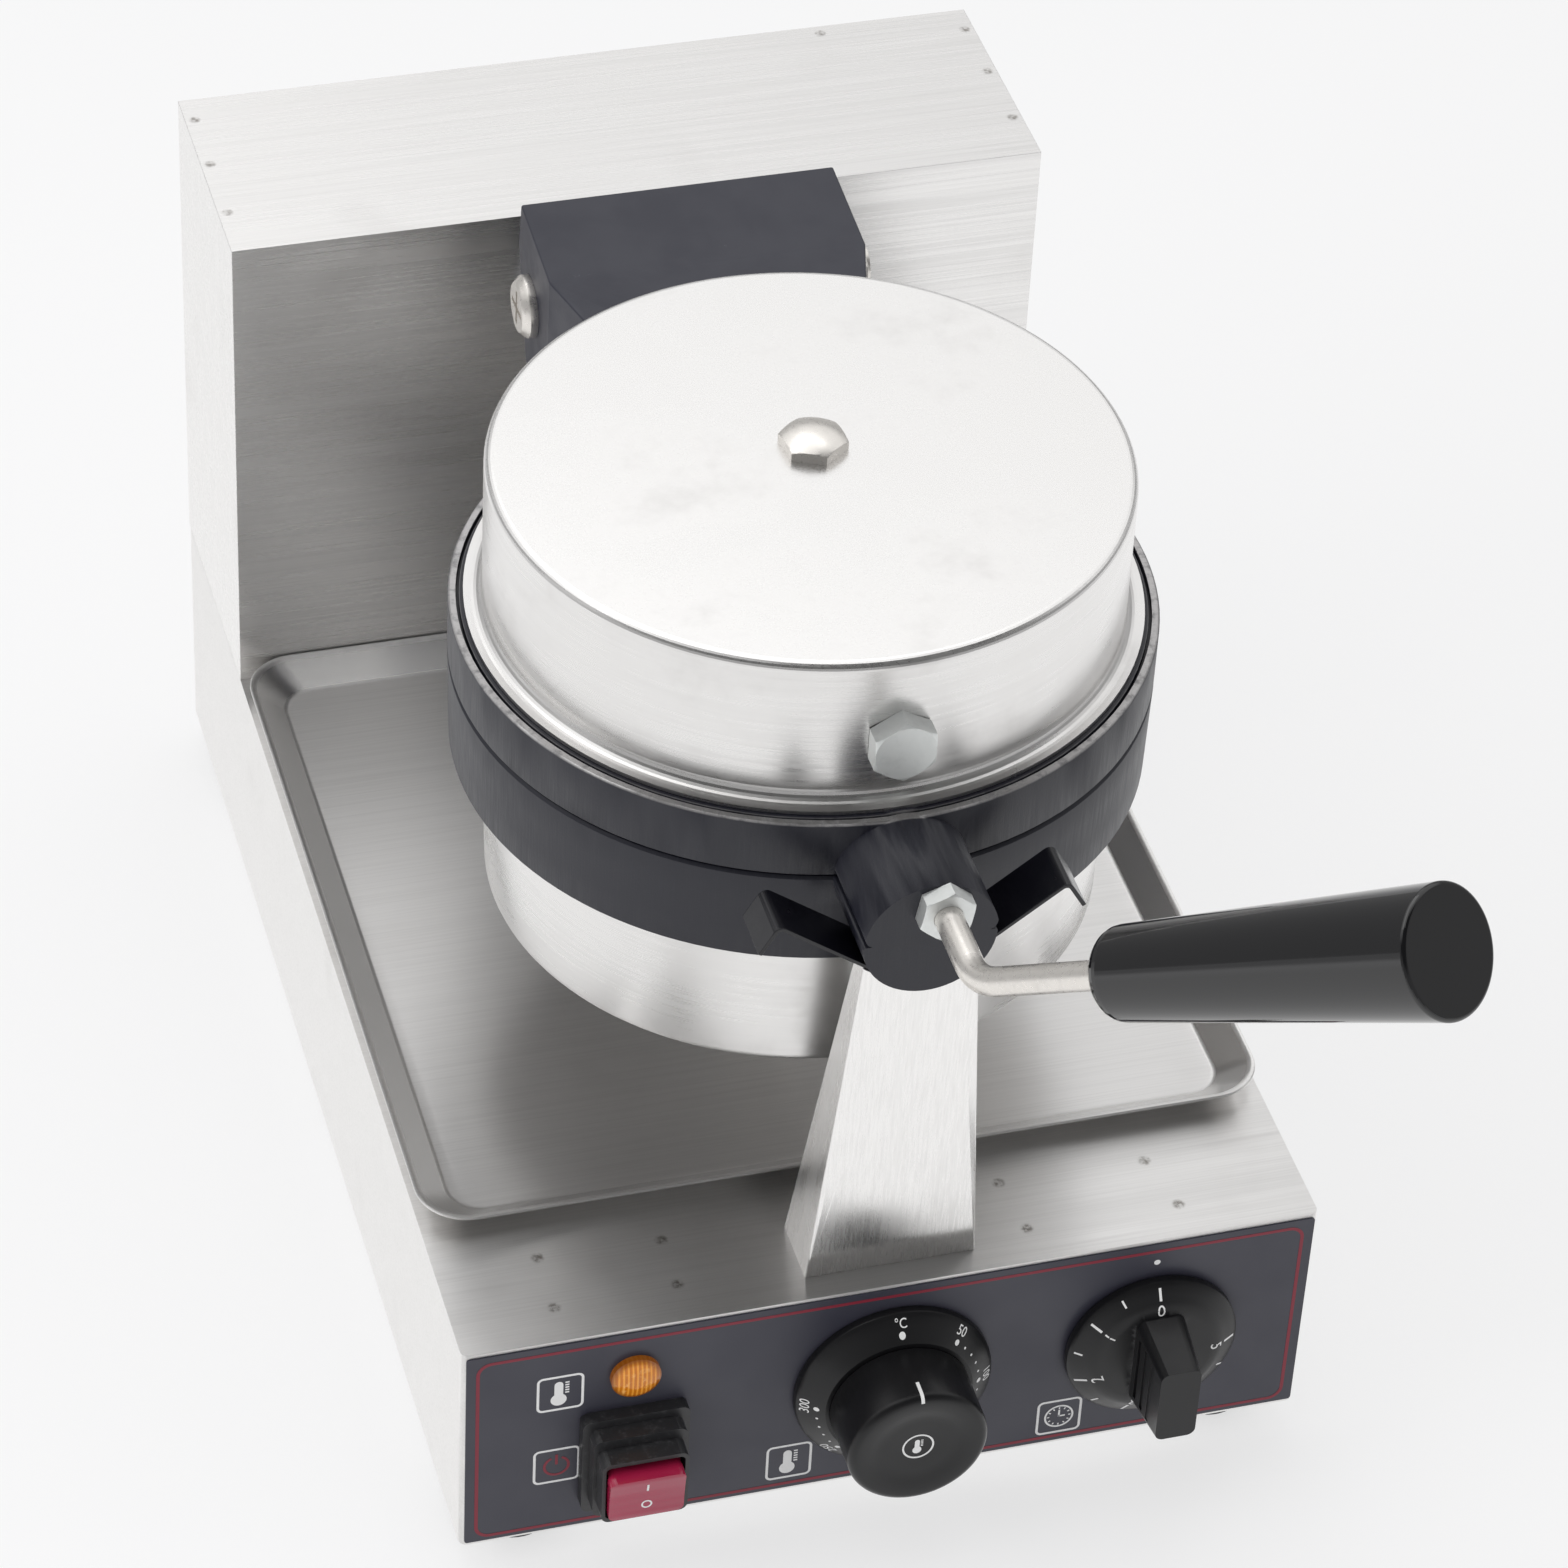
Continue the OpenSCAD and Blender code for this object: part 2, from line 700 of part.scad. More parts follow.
module terminal_block() {
    color("ivory") translate([block_x, block_y, foot_h + sheet_t]) {
        difference() {
            union() {
                block([-block_w / 2, -block_d / 2, 0], [block_w / 2, block_d / 2, block_base_t]);
                for (i = [-2:2]) translate([i * block_pitch, 0, 0])
                    block([-block_way_w / 2, 1 - block_d / 2, 0],
                        [block_way_w / 2, block_d / 2 - 1, block_h]);
            }
            for (i = [-2:2]) translate([i * block_pitch, 0, block_wire_z])
                rod_y(block_wire_r, -block_d, block_d);
            both_x(block_screw_x) rod_z(block_screw_r + slip / 2, -eps, block_base_t + eps);
        }
    }
}

module block_screws() {
    color("dimgray") both_x(block_screw_x) translate([block_x, block_y, foot_h])
        pan_screw(block_screw_r, sheet_t + block_base_t - eps);
}

// ---- Bearing ----

// The four bolts of the bearing, around the turning axis
module bearing_bolt_places() {
    on_axis() for (a = [45:90:315])
        translate([bearing_pcd_r * cos(a), 0, bearing_pcd_r * sin(a)]) children();
}

module pivot_bearing() {
    color("dimgray") difference() {
        on_axis() {
            difference() {
                rod_y(bearing_flange_r, bearing_front, housing_y);
                block([-bearing_flange_r, bearing_front - eps, flange_top],
                    [bearing_flange_r, housing_y + eps, 2 * bearing_flange_r]);
            }
            rod_y(bearing_hub_r, bearing_front, bearing_back);
        }
        on_axis() rod_y(shaft_r + run_clear, bearing_front - eps, bearing_back + eps);
        bearing_bolt_places() rod_y(m6_r + slip, bearing_front - eps, housing_y + eps);
    }
}

module bearing_bolts() {
    color("silver") bearing_bolt_places() {
        translate([0, bearing_front, 0])
            hex_bolt_y(m6_r, m6_af, m6_head, bearing_flange_t + sheet_t + m6_nut + m6_end);
        difference() {
            hex_y(m6_af, housing_y + sheet_t, housing_y + sheet_t + m6_nut);
            rod_y(m6_r + slip / 2, housing_y, housing_y + sheet_t + m6_nut + eps);
        }
    }
}

module thrust_washer() {
    color("peru") on_axis() difference() {
        rod_y(shaft_r + 5, bearing_front - washer_t, bearing_front);
        rod_y(shaft_r + 2 * run_clear, bearing_front - washer_t - eps, bearing_front + eps);
    }
}

// Welded bracket inside the housing: its two arms stop the collar's pin, which swings below them
module turn_stop() {
    wall_y = housing_y + sheet_t;
    arm_z = stop_pin_r + stop_gap;
    color("silver") on_axis() {
        block([-stop_x - stop_w / 2, wall_y, -stop_foot],
            [stop_x + stop_w / 2, wall_y + stop_plate_t, -stop_x]);
        both_x(stop_x) {
            block([-stop_w / 2, wall_y, -stop_x - 1], [stop_w / 2, wall_y + stop_plate_t, arm_z + stop_t]);
            block([-stop_w / 2, wall_y, arm_z], [stop_w / 2, shaft_back, arm_z + stop_t]);
        }
    }
}

// ---- Stand and saddle ----

// Solid form of the stand, inset by a wall, that starts below the deck and reaches back by some lengths
module stand_form(wall, below, behind) {
    back0 = stand_front + stand_d + behind;
    back1 = stand_front - stand_lean + stand_top_d + behind;
    intersection() {
        translate([0, back0, deck_z]) rotate([90, 0, 0]) linear_extrude(2 * stand_w)
            polygon([[-stand_w / 2 + wall, -below], [stand_w / 2 - wall, -below],
                [stand_top_w / 2 - wall, stand_top + below], [-stand_top_w / 2 + wall, stand_top + below]]);
        translate([-stand_w, 0, deck_z]) rotate([90, 0, 90]) linear_extrude(2 * stand_w)
            polygon([[stand_front + wall, -below], [back0, -below],
                [back1, stand_top + below], [stand_front - stand_lean + wall, stand_top + below]]);
    }
}

// Underside of the saddle's cradle, from its left to its right, up to a distance along the wings
function cradle(r, run) = concat(
    [[-r * sin(wing_slope) - run * cos(wing_slope), -r * cos(wing_slope) + run * sin(wing_slope)]],
    arc(0, 0, r, -90 - wing_slope, -90 + wing_slope, 24),
    [[r * sin(wing_slope) + run * cos(wing_slope), -r * cos(wing_slope) + run * sin(wing_slope)]]);

// Everything above the underside of the saddle
module above_saddle(y0, y1) {
    on_axis() translate([0, y1, 0]) rotate([90, 0, 0]) linear_extrude(y1 - y0)
        polygon(concat(cradle(saddle_out_r, wing_cut), [[wing_cut, wing_cut], [-wing_cut, wing_cut]]));
}

module stand() {
    color("whitesmoke") difference() {
        union() {
            difference() {
                stand_form(0, 0, 0);
                stand_form(stand_t, eps, 2 * stand_t);
            }
            intersection() {
                stand_form(0, 0, 0);
                block([-stand_w, front_y - 30, deck_z], [stand_w, front_y + 100, deck_z + stand_t]);
            }
        }
        above_saddle(front_y - 40, front_y + 60);
        both_x(stand_screw_x) translate([0, stand_screw_y, 0])
            rod_z(stand_screw_r + slip, deck_z - eps, deck_z + stand_t + eps);
    }
}

module stand_screws() {
    color("silver") both_x(stand_screw_x) translate([0, stand_screw_y, deck_z - sheet_t]) {
        pan_screw(stand_screw_r, 6);
        difference() {
            hex_z(stand_nut_af, sheet_t + stand_t, sheet_t + stand_t + stand_nut_h);
            rod_z(stand_screw_r + slip / 2, 0, sheet_t + stand_t + stand_nut_h + eps);
        }
    }
}

// Fold and lip at the end of the right wing, at an offset from the fold's centre line
function wing_end(offset) =
    let (run = (wing_x - saddle_r * sin(wing_slope)) / cos(wing_slope),
        x = saddle_out_r * sin(wing_slope) + run * cos(wing_slope) + (fold_r - saddle_t) * sin(wing_slope),
        z = -saddle_out_r * cos(wing_slope) + run * sin(wing_slope) - (fold_r - saddle_t) * cos(wing_slope),
        turn = wing_slope - lip_slope,
        lip_x = x + offset * sin(-lip_slope) + wing_lip * cos(lip_slope),
        lip_z = z + offset * cos(lip_slope) + wing_lip * sin(lip_slope))
    concat(arc(x, z, offset, 90 + wing_slope, 90 + wing_slope - turn, 8), [[lip_x, lip_z]]);

// The right half of one side of the saddle strip, from the middle outwards
function saddle_side(r, offset) = concat(arc(0, 0, r, -90, -90 + wing_slope, 12), wing_end(offset));

// A list of points in the other order, and a list of points on the other side of X = 0
function reversed(points) = [for (i = [len(points) - 1:-1:0]) points[i]];
function mirrored(points) = [for (i = [1:len(points) - 1]) [-points[i][0], points[i][1]]];

module saddle() {
    low = saddle_side(saddle_out_r, fold_r - saddle_t);
    high = saddle_side(saddle_r, fold_r);
    color("#1a1a1c") on_axis() translate([0, saddle_y + saddle_w, 0]) rotate([90, 0, 0])
        linear_extrude(saddle_w)
            polygon(concat(reversed(mirrored(low)), low, reversed(high), mirrored(high)));
}

// ---- Controls ----

module thermostat_body() {
    color("lightgray") translate([0, 0, thermo_z]) difference() {
        union() {
            block([-thermo_body_w / 2, front_y + sheet_t, -thermo_body_h / 2],
                [thermo_body_w / 2, front_y + thermo_body_d, thermo_body_h / 2]);
            rod_y(bush_r, panel_y - 0.3 + overlay_t, front_y + sheet_t + eps);
        }
        rod_y(knob_shaft_r + run_clear, panel_y - 1, front_y + knob_shaft_in + 1);
    }
}

module scale_ring() {
    color("#1e1e20") translate([0, 0, thermo_z]) difference() {
        translate([0, panel_y, 0]) rotate([90, 0, 0]) rotate_extrude()
            polygon([[0, 0], [scale_r, 0], [scale_r, scale_rim], [scale_r - 1.2, scale_rim + 1.2],
                [thermo_r + 1.8, scale_t - 0.4], [thermo_r + 1.2, scale_t], [0, scale_t]]);
        rod_y(bush_r + 1, panel_y - scale_t - eps, panel_y + eps);
    }
}

module thermostat_knob() {
    edge = 2.4;
    color("#1b1b1d") translate([0, thermo_y, thermo_z]) difference() {
        rotate([90, 0, 0]) rotate_extrude()
            polygon(concat([[0, 0], [thermo_r, 0]], arc(thermo_r - edge, thermo_len - edge, edge, 0, 90),
                [[thermo_r - 5, thermo_len - 0.2], [thermo_r - 9, thermo_len - 1], [0, thermo_len - 1.5]]));
        rod_y(knob_shaft_r + run_clear, -thermo_len + knob_face_t, eps);
    }
}

module thermostat_shaft() {
    color("silver") translate([0, 0, thermo_z])
        rod_y(knob_shaft_r, thermo_y - thermo_len + knob_face_t + 1, front_y + knob_shaft_in);
}

module timer_body() {
    color("lightgray") translate([timer_x, 0, timer_z]) difference() {
        union() {
            rod_y(timer_body_r, front_y + sheet_t, front_y + timer_body_d);
            rod_y(bush_r, panel_y - 0.3 + overlay_t, front_y + sheet_t + eps);
        }
        rod_y(knob_shaft_r + run_clear, panel_y - 1, front_y + knob_shaft_in + 1);
    }
}

module timer_knob() {
    foot_w = bar_w + 2.6;
    foot_l = bar_h + 6;
    color("#1b1b1d") translate([timer_x, dial_back, timer_z]) difference() {
        union() {
            rotate([90, 0, 0]) rotate_extrude()
                polygon([[0, 0], [dial_r, 0], [dial_r, dial_rim], [dial_r - 1, dial_rim + 1],
                    [dial_r - 7, dial_t - 0.8], [0, dial_t]]);
            hull() {
                round_plate_y(foot_w, foot_l, 3, -dial_t, -dial_t + 1.5, $fn = 32);
                round_plate_y(bar_w, bar_h, 2.5, -dial_t - bar_len, -dial_t - bar_len + 1, $fn = 32);
            }
        }
        for (s = [-1, 1], i = [0:3])
            translate([s * (foot_w / 2 + 0.3), -dial_t - 3 - i * 4.6, 0])
                cube([2.6, 1.8, foot_l - 9], center = true);
        rod_y(knob_shaft_r + run_clear, -dial_t - 8, eps);
    }
}

module timer_shaft() {
    color("silver") translate([timer_x, 0, timer_z])
        rod_y(knob_shaft_r, dial_front - 7.5, front_y + knob_shaft_in);
}

// Moves children to the switch on the panel
module at_switch() {
    translate([-switch_x, 0, switch_z]) children();
}

module switch_body() {
    cheek = rocker_pivot_y - 2.6;
    inner_w = rocker_neck_w + 0.8;
    color("#242426") at_switch() {
        difference() {
            union() {
                block([-switch_w / 2, panel_y, -switch_h / 2],
                    [switch_w / 2, front_y + switch_body_d, switch_h / 2]);
                both_x(inner_w / 2 + 0.6) block([-0.6, cheek, -4], [0.6, panel_y + eps, 4]);
            }
            block([-inner_w / 2, panel_y - eps, -switch_h / 2 + 2],
                [inner_w / 2, front_y + 8, switch_h / 2 - 2]);
        }
        for (s = [-1, 1]) translate([0, rocker_pivot_y, 0])
            rod_x(rocker_pin_r, min(s * (inner_w / 2 + eps), s * 5), max(s * (inner_w / 2 + eps), s * 5));
        for (z = [-8, 8]) both_x(5) block([-0.4, front_y + switch_body_d - 1, z - 3],
            [0.4, front_y + switch_body_d + 8, z + 3]);
    }
}

module switch_boot() {
    color("#151517") at_switch() difference() {
        for (s = boot_steps) round_plate_y(s[0], s[1], 2.5, panel_y - s[3], panel_y - s[2]);
        round_plate_y(boot_open_w + 1.4, 27.2, 1.5, panel_y - boot_flange_t, panel_y + eps);
        round_plate_y(boot_open_w + 1, 25, 1.5, panel_y - boot_steps[1][3] + 1, panel_y + eps);
        round_plate_y(boot_open_w, boot_open_h, 1.5, panel_y - 40, panel_y + eps);
    }
}

module rocker() {
    front = rocker_front_y - rocker_pivot_y;
    neck = rocker_neck_w / 2;
    color("firebrick") at_switch() translate([0, rocker_pivot_y, 0])
        rotate([rocker_tilt, 0, 0]) difference() {
        union() {
            round_plate_y(rocker_w, rocker_face_h, 2, front, front + rocker_face_t);
            block([-neck, front + rocker_face_t - 1, -rocker_neck_h / 2], [neck, 1, rocker_neck_h / 2]);
            rod_x(4.5, -neck, neck);
        }
        rod_x(rocker_pin_r + run_clear, -rocker_w, rocker_w);
        translate([0, front - rocker_dish_r + 1.2, 0]) rod_x(rocker_dish_r, -rocker_w, rocker_w);
    }
}

module lamp_body() {
    color("dimgray") translate([-switch_x, 0, lamp_z]) {
        rod_y(lamp_r - 2, panel_y, front_y + lamp_body_d);
        both_x(2.5) block([-0.4, front_y + lamp_body_d - 1, -2], [0.4, front_y + lamp_body_d + 7, 2]);
    }
}

module lamp_lens() {
    dome_r = lamp_r * 1.9;
    color("darkorange") translate([-switch_x, panel_y, lamp_z]) intersection() {
        rod_y(lamp_r, -3.4, 0);
        translate([0, dome_r - 3.4, 0]) sphere(dome_r);
    }
}

// ---- Drip tray ----

// A shallow flared pan: its floor is smaller than its rim
module pan_form(inset, z0, z1) {
    hull() {
        translate([0, 0, z0]) linear_extrude(0.01)
            round_outline(tray_w - 2 * tray_flare - 2 * inset, tray_d - 2 * tray_flare - 2 * inset,
                tray_corner_r - tray_flare / 2 - inset, $fn = 32);
        translate([0, 0, z1 - 0.01]) linear_extrude(0.01)
            round_outline(tray_w - 2 * inset, tray_d - 2 * inset, tray_corner_r - inset, $fn = 32);
    }
}

module drip_tray() {
    color("gainsboro") translate([0, tray_front + tray_d / 2, deck_z]) difference() {
        pan_form(0, 0, tray_h);
        pan_form(tray_t, tray_t, tray_h + 0.02);
    }
}

// ---- Castings ----

// Crossed ridges on the baking recess, from z = 0 up
module ridges() {
    count = floor(bake_r / ridge_pitch);
    linear_extrude(ridge_h) intersection() {
        circle(bake_r - 4);
        union() for (a = [45, 135], i = [-count:count]) rotate(a)
            translate([0, (i + 0.5) * ridge_pitch]) square([2 * bake_r, ridge_w], center = true);
    }
}

// Cross-section of one half of the front boss, with rounded corners at the parting plane
module boss_half(corner) {
    x = sqrt(pow(boss_r - corner, 2) - pow(half_gap + corner, 2));
    intersection() {
        circle(boss_r);
        union() {
            translate([-boss_r, half_gap + corner]) square([2 * boss_r, boss_r]);
            translate([-x, half_gap]) square([2 * x, boss_r]);
        }
    }
    for (s = [-1, 1]) translate([s * x, half_gap + corner]) circle(corner);
}

// Boss along Y, its front face at y0
module boss_y_half(corner, y0) {
    translate([0, -bake_r - 3, 0]) rotate([90, 0, 0]) linear_extrude(-bake_r - 3 - y0) boss_half(corner);
}

module upper_casting() {
    lip_w = 2.2;
    ledge_r = casting_r - 3.2;
    color("#3c3c44") on_axis() difference() {
        union() {
            rotate_extrude(convexity = 6) polygon([
                [0, bake_depth + half_gap], [bake_r, bake_depth + half_gap], [bake_r + 0.6, half_gap],
                [casting_r - 0.8, half_gap], [casting_r, half_gap + 0.8], [casting_r, upper_out - 0.6],
                [casting_r - 0.6, upper_out], [casting_r - lip_w, upper_out],
                [casting_r - lip_w, upper_out - 2.6], [ledge_r, upper_out - 2.6], [ledge_r, upper_out - 0.2],
                [cover_r - 5.5, upper_out - 0.2], [cover_r - 5.5, plate_out], [0, plate_out]]);
            translate([0, 0, bake_depth + half_gap + 0.01]) mirror([0, 0, 1]) ridges();
            boss_y_half(3, boss_y);
            block([-arm_inner_w / 2, bake_r - 6, bake_depth + 2], [arm_inner_w / 2, pad_y, upper_out - 0.2]);
            block([-arm_inner_w / 2, casting_r - 14, half_gap + 0.3],
                [arm_inner_w / 2, pad_y, bake_depth + 3]);
        }
        at_upper_stud() rod_z(stud_r + slip / 2, plate_out - stud_seat, plate_out + eps);
        translate([rod_side, 0, rod_up]) rod_y(rod_r + slip / 2, boss_y - eps, -bake_r + 2);
        both_x(arm_bolt_x) translate([0, 0, arm_bolt_z]) rod_y(m6_r + slip / 2, pad_y - 14, pad_y + eps);
        rotate_extrude() polygon([[ledge_r, upper_out - 2.6], [casting_r - lip_w, upper_out - 2.6],
            [casting_r - lip_w, upper_out + 9], [ledge_r, upper_out + 9]]);
    }
}

module lower_casting() {
    color("#3c3c44") on_axis() mirror([0, 0, 1]) difference() {
        union() {
            rotate_extrude(convexity = 6) polygon([
                [0, bake_depth + half_gap], [bake_r, bake_depth + half_gap], [bake_r + 0.6, half_gap],
                [casting_r - 0.8, half_gap], [casting_r, half_gap + 0.8],
                [casting_r - 0.6, lower_out - 0.8], [casting_r - 1.4, lower_out],
                [skirt_r + 1, lower_out], [skirt_r, plate_out], [0, plate_out]]);
            translate([0, 0, bake_depth + half_gap + 0.01]) mirror([0, 0, 1]) ridges();
            boss_y_half(0.8, boss_y + 0.6);
            block([-pad_w / 2, casting_r - 9, half_gap + 0.8], [pad_w / 2, pad_y, lower_out - 1]);
        }
        rod_z(stud_r + slip / 2, plate_out - stud_seat, plate_out + eps);
        rod_z(skirt_r, plate_out, lower_out + eps);
        yoke_bolt_places() rod_y(m6_r + slip / 2, pad_y - 10, pad_y + eps);
    }
}

// Bolts of the yoke, in the lower casting's own downward frame
module yoke_bolt_places() {
    for (z = yoke_bolt_zs) both_x(yoke_bolt_x) translate([0, 0, z]) children();
}

// ---- Covers, elements and their fasteners ----

module upper_cover() {
    flare = 3.2;
    outer = concat([[flare_r, 0], [flare_r, sheet_t]],
        [for (p = arc(cover_r + flare, sheet_t + flare, flare, 270, 180)) p],
        arc(cover_r - cover_edge_r, upper_cover_h - cover_edge_r, cover_edge_r, 0, 90),
        [[0, upper_cover_h]]);
    inner_r = cover_r - sheet_t;
    inner = concat([[0, upper_cover_h - sheet_t]],
        arc(inner_r - cover_edge_r + sheet_t, upper_cover_h - cover_edge_r, cover_edge_r - sheet_t, 90, 0),
        [for (p = arc(cover_r + flare, sheet_t + flare, flare + sheet_t, 180, 270)) p]);
    color("whitesmoke") on_axis() translate([0, 0, upper_out]) difference() {
        rotate_extrude() polygon(concat(outer, inner));
        at_upper_stud() rod_z(stud_r + slip, 0, upper_cover_h + eps);
        translate([0, 0, side_bolt_up - upper_out]) rod_y(stud_r + slip, -cover_r - eps, -cover_r + 10);
    }
}

module lower_cover() {
    h = lower_cover_len;
    r_end = cover_r - lower_taper;
    in_r = cover_r - sheet_t;
    in_end = r_end - sheet_t;
    color("whitesmoke") on_axis() mirror([0, 0, 1]) translate([0, 0, -lower_cover_z]) difference() {
        rotate_extrude() polygon(concat([[cover_r, 0]],
            arc(r_end - cover_edge_r, h - cover_edge_r, cover_edge_r, 0, 90), [[0, h], [0, h - sheet_t]],
            arc(in_end - cover_edge_r + sheet_t, h - cover_edge_r, cover_edge_r - sheet_t, 90, 0),
            [[in_r, 0]]));
        rod_z(stud_r + slip, 0, h + eps);
        translate([0, 0, lower_bolt_down + lower_cover_z])
            rod_y(stud_r + slip, -cover_r - eps, -cover_r + 10);
    }
}

// Heating ring with two terminals, lying on a plate at z = 0
module element() {
    gap_a = 14;
    translate([0, 0, element_r]) {
        rotate([0, 0, 90 + gap_a]) rotate_extrude(angle = 360 - 2 * gap_a, $fn = 64)
            translate([element_ring_r, 0]) circle(element_r, $fn = 32);
        for (s = [-1, 1]) rotate([0, 0, 90 + s * gap_a]) translate([element_ring_r, 0, 0])
            rod_z(element_r * 0.8, 0, 18);
    }
}

// Bar that clamps the heating ring, and the nut that holds it on the stud
module clamp_bar() {
    difference() {
        linear_extrude(clamp_t) round_outline(2 * element_ring_r + 16, 18, 4);
        rod_z(stud_r + slip, -eps, clamp_t + eps);
    }
    difference() {
        hex_z(cover_nut_af, clamp_t, clamp_t + 5);
        rod_z(stud_r + slip / 2, clamp_t - eps, clamp_t + 6);
    }
}

// Domed hexagon nut on a stud, sitting at z = 0
module dome_nut() {
    difference() {
        intersection() {
            hex_z(cover_nut_af, 0, nut_h);
            translate([0, 0, nut_h - 1.02 * cover_nut_af]) sphere(1.02 * cover_nut_af);
        }
        rod_z(stud_r + slip / 2, -eps, nut_h - nut_crown + 0.6);
    }
}

// Side bolt through a cover of a given radius, its head's underside on the cover
module side_bolt(r) {
    translate([0, -r, 0]) {
        hex_bolt_y(stud_r, cover_nut_af, bolt_head_h, bolt_shank);
        difference() {
            hex_y(cover_nut_af, sheet_t + side_nut_gap, sheet_t + side_nut_gap + 8);
            rod_y(stud_r + slip / 2, 0, bolt_shank);
        }
    }
}

// Moves children onto the back of a baking plate, outward as +Z
module on_plate(up) {
    on_axis() mirror([0, 0, up ? 0 : 1]) translate([0, 0, plate_out]) children();
}

module upper_element() {
    color("sienna") on_plate(true) element();
}

module lower_element() {
    color("sienna") on_plate(false) element();
}

module upper_clamp() {
    color("silver") at_upper_stud() on_plate(true) translate([0, 0, 2 * element_r]) clamp_bar();
}

module lower_clamp() {
    color("silver") on_plate(false) translate([0, 0, 2 * element_r]) clamp_bar();
}

module upper_stud() {
    color("silver") at_upper_stud() on_axis()
        rod_z(stud_r, plate_out - stud_seat + slip, upper_cover_end + nut_h - nut_crown);
}

module lower_stud() {
    color("silver") on_axis() mirror([0, 0, 1])
        rod_z(stud_r, plate_out - stud_seat + slip, -lower_cover_end + nut_h - nut_crown);
}

module upper_cover_nut() {
    color("silver") at_upper_stud() on_axis()
        translate([0, 0, upper_cover_end]) rotate([0, 0, nut_turn]) dome_nut();
}

module lower_cover_nut() {
    color("silver") on_axis() translate([0, 0, lower_cover_end]) mirror([0, 0, 1]) dome_nut();
}

module upper_side_bolt() {
    color("lightsteelblue") on_axis() translate([0, 0, side_bolt_up]) side_bolt(cover_r);
}

module lower_side_bolt() {
    color("lightsteelblue") on_axis() translate([0, 0, -lower_bolt_down]) side_bolt(lower_bolt_r);
}

// ---- Hinge ----

// Side outline of the hinge arm, as [y, z] from the turning axis
arm_outline = [[pin_back + 14, arm_top], [pin_back + 16, arm_top - 14], [pin_back + 5.4, 10],
    [pad_y, 3], [pad_y, upper_out + 0.2], [bake_r - 6, upper_out + 0.2], [bake_r - 6, arm_top - 4],
    [pin_back - 20.4, arm_top - 3.6]];

// Side outline of the space inside the hinge arm
arm_hollow = [[pin_back + 40, arm_top - arm_t - 0.2], [pin_back + 40, -10], [pad_y + arm_t, -10],
    [pad_y + arm_t, upper_out + 2], [bake_r - 4, upper_out + 6], [bake_r - 4, arm_top - 4 - arm_t],
    [pin_back - 20.4, arm_top - 3.6 - arm_t], [pin_back + 14, arm_top - arm_t - 0.2]];

// Plan outline of the hinge arm, narrower at its front
module arm_plan(inset) {
    half = arm_w / 2 - inset;
    polygon([[-half, pin_back + 60], [-half, pin_back - 20.4], [-half + 8, bake_r - 10],
        [half - 8, bake_r - 10], [half, pin_back - 20.4], [half, pin_back + 60]]);
}

// An outline of [y, z] points, extruded along X and centred
module across_x(w, points) {
    translate([-w / 2, 0, 0]) rotate([90, 0, 90]) linear_extrude(w) polygon(points);
}

module hinge_arm() {
    reach = 4 * arm_top;
    color("#3c3c44") on_axis() difference() {
        intersection() {
            across_x(arm_w, arm_outline);
            linear_extrude(reach) arm_plan(0);
        }
        intersection() {
            across_x(arm_w, arm_hollow);
            translate([0, 0, -reach / 2]) linear_extrude(reach) arm_plan(arm_t);
            difference() {
                translate([0, 0, -reach / 2]) cylinder(r = 2 * casting_r, h = reach);
                translate([0, 0, -reach / 2 - eps]) cylinder(r = arm_clear_r + arm_t, h = reach + 2 * eps);
            }
        }
        translate([0, 0, upper_out + 0.1]) cylinder(r = arm_clear_r, h = reach);
        translate([0, 0, upper_out + 0.1]) cylinder(r = flare_r + 1.4, h = 6);
        translate([0, pin_back, pin_up]) rod_x(pin_r + slip / 2, -arm_w, arm_w);
        both_x(arm_bolt_x) translate([0, 0, arm_bolt_z]) rod_y(m6_r + slip, pad_y - eps, pad_y + arm_t + eps);
    }
}

module arm_bolts() {
    color("silver") on_axis() both_x(arm_bolt_x)
        translate([0, pad_y + arm_t, arm_bolt_z]) rotate([0, 0, 180])
            hex_bolt_y(m6_r, m6_af, m6_head, arm_t + arm_bolt_bite);
}

module hinge_pin() {
    head_x = -arm_w / 2 - 2 * pin_head_h;
    color("silver") translate([0, pin_back, pin_z]) {
        rod_x(pin_r, -arm_w / 2 - eps, arm_w / 2 + pin_nut_h + 1.5);
        difference() {
            translate([head_x, 0, 0]) rotate([0, 90, 0])
                cylinder(r1 = pin_head_r - 2, r2 = pin_head_r, h = pin_head_h);
            translate([head_x, 0, 0]) cube([2.4, 11, 1.8], center = true);
            translate([head_x, 0, 0]) cube([2.4, 1.8, 11], center = true);
        }
        rod_x(pin_head_r, head_x + pin_head_h, -arm_w / 2);
        difference() {
            translate([arm_w / 2, 0, 0]) rotate([0, 90, 0])
                cylinder(r = pin_nut_af / sqrt(3), h = pin_nut_h, $fn = 6);
            rod_x(pin_r + slip / 2, arm_w / 2 - eps, arm_w);
        }
    }
}

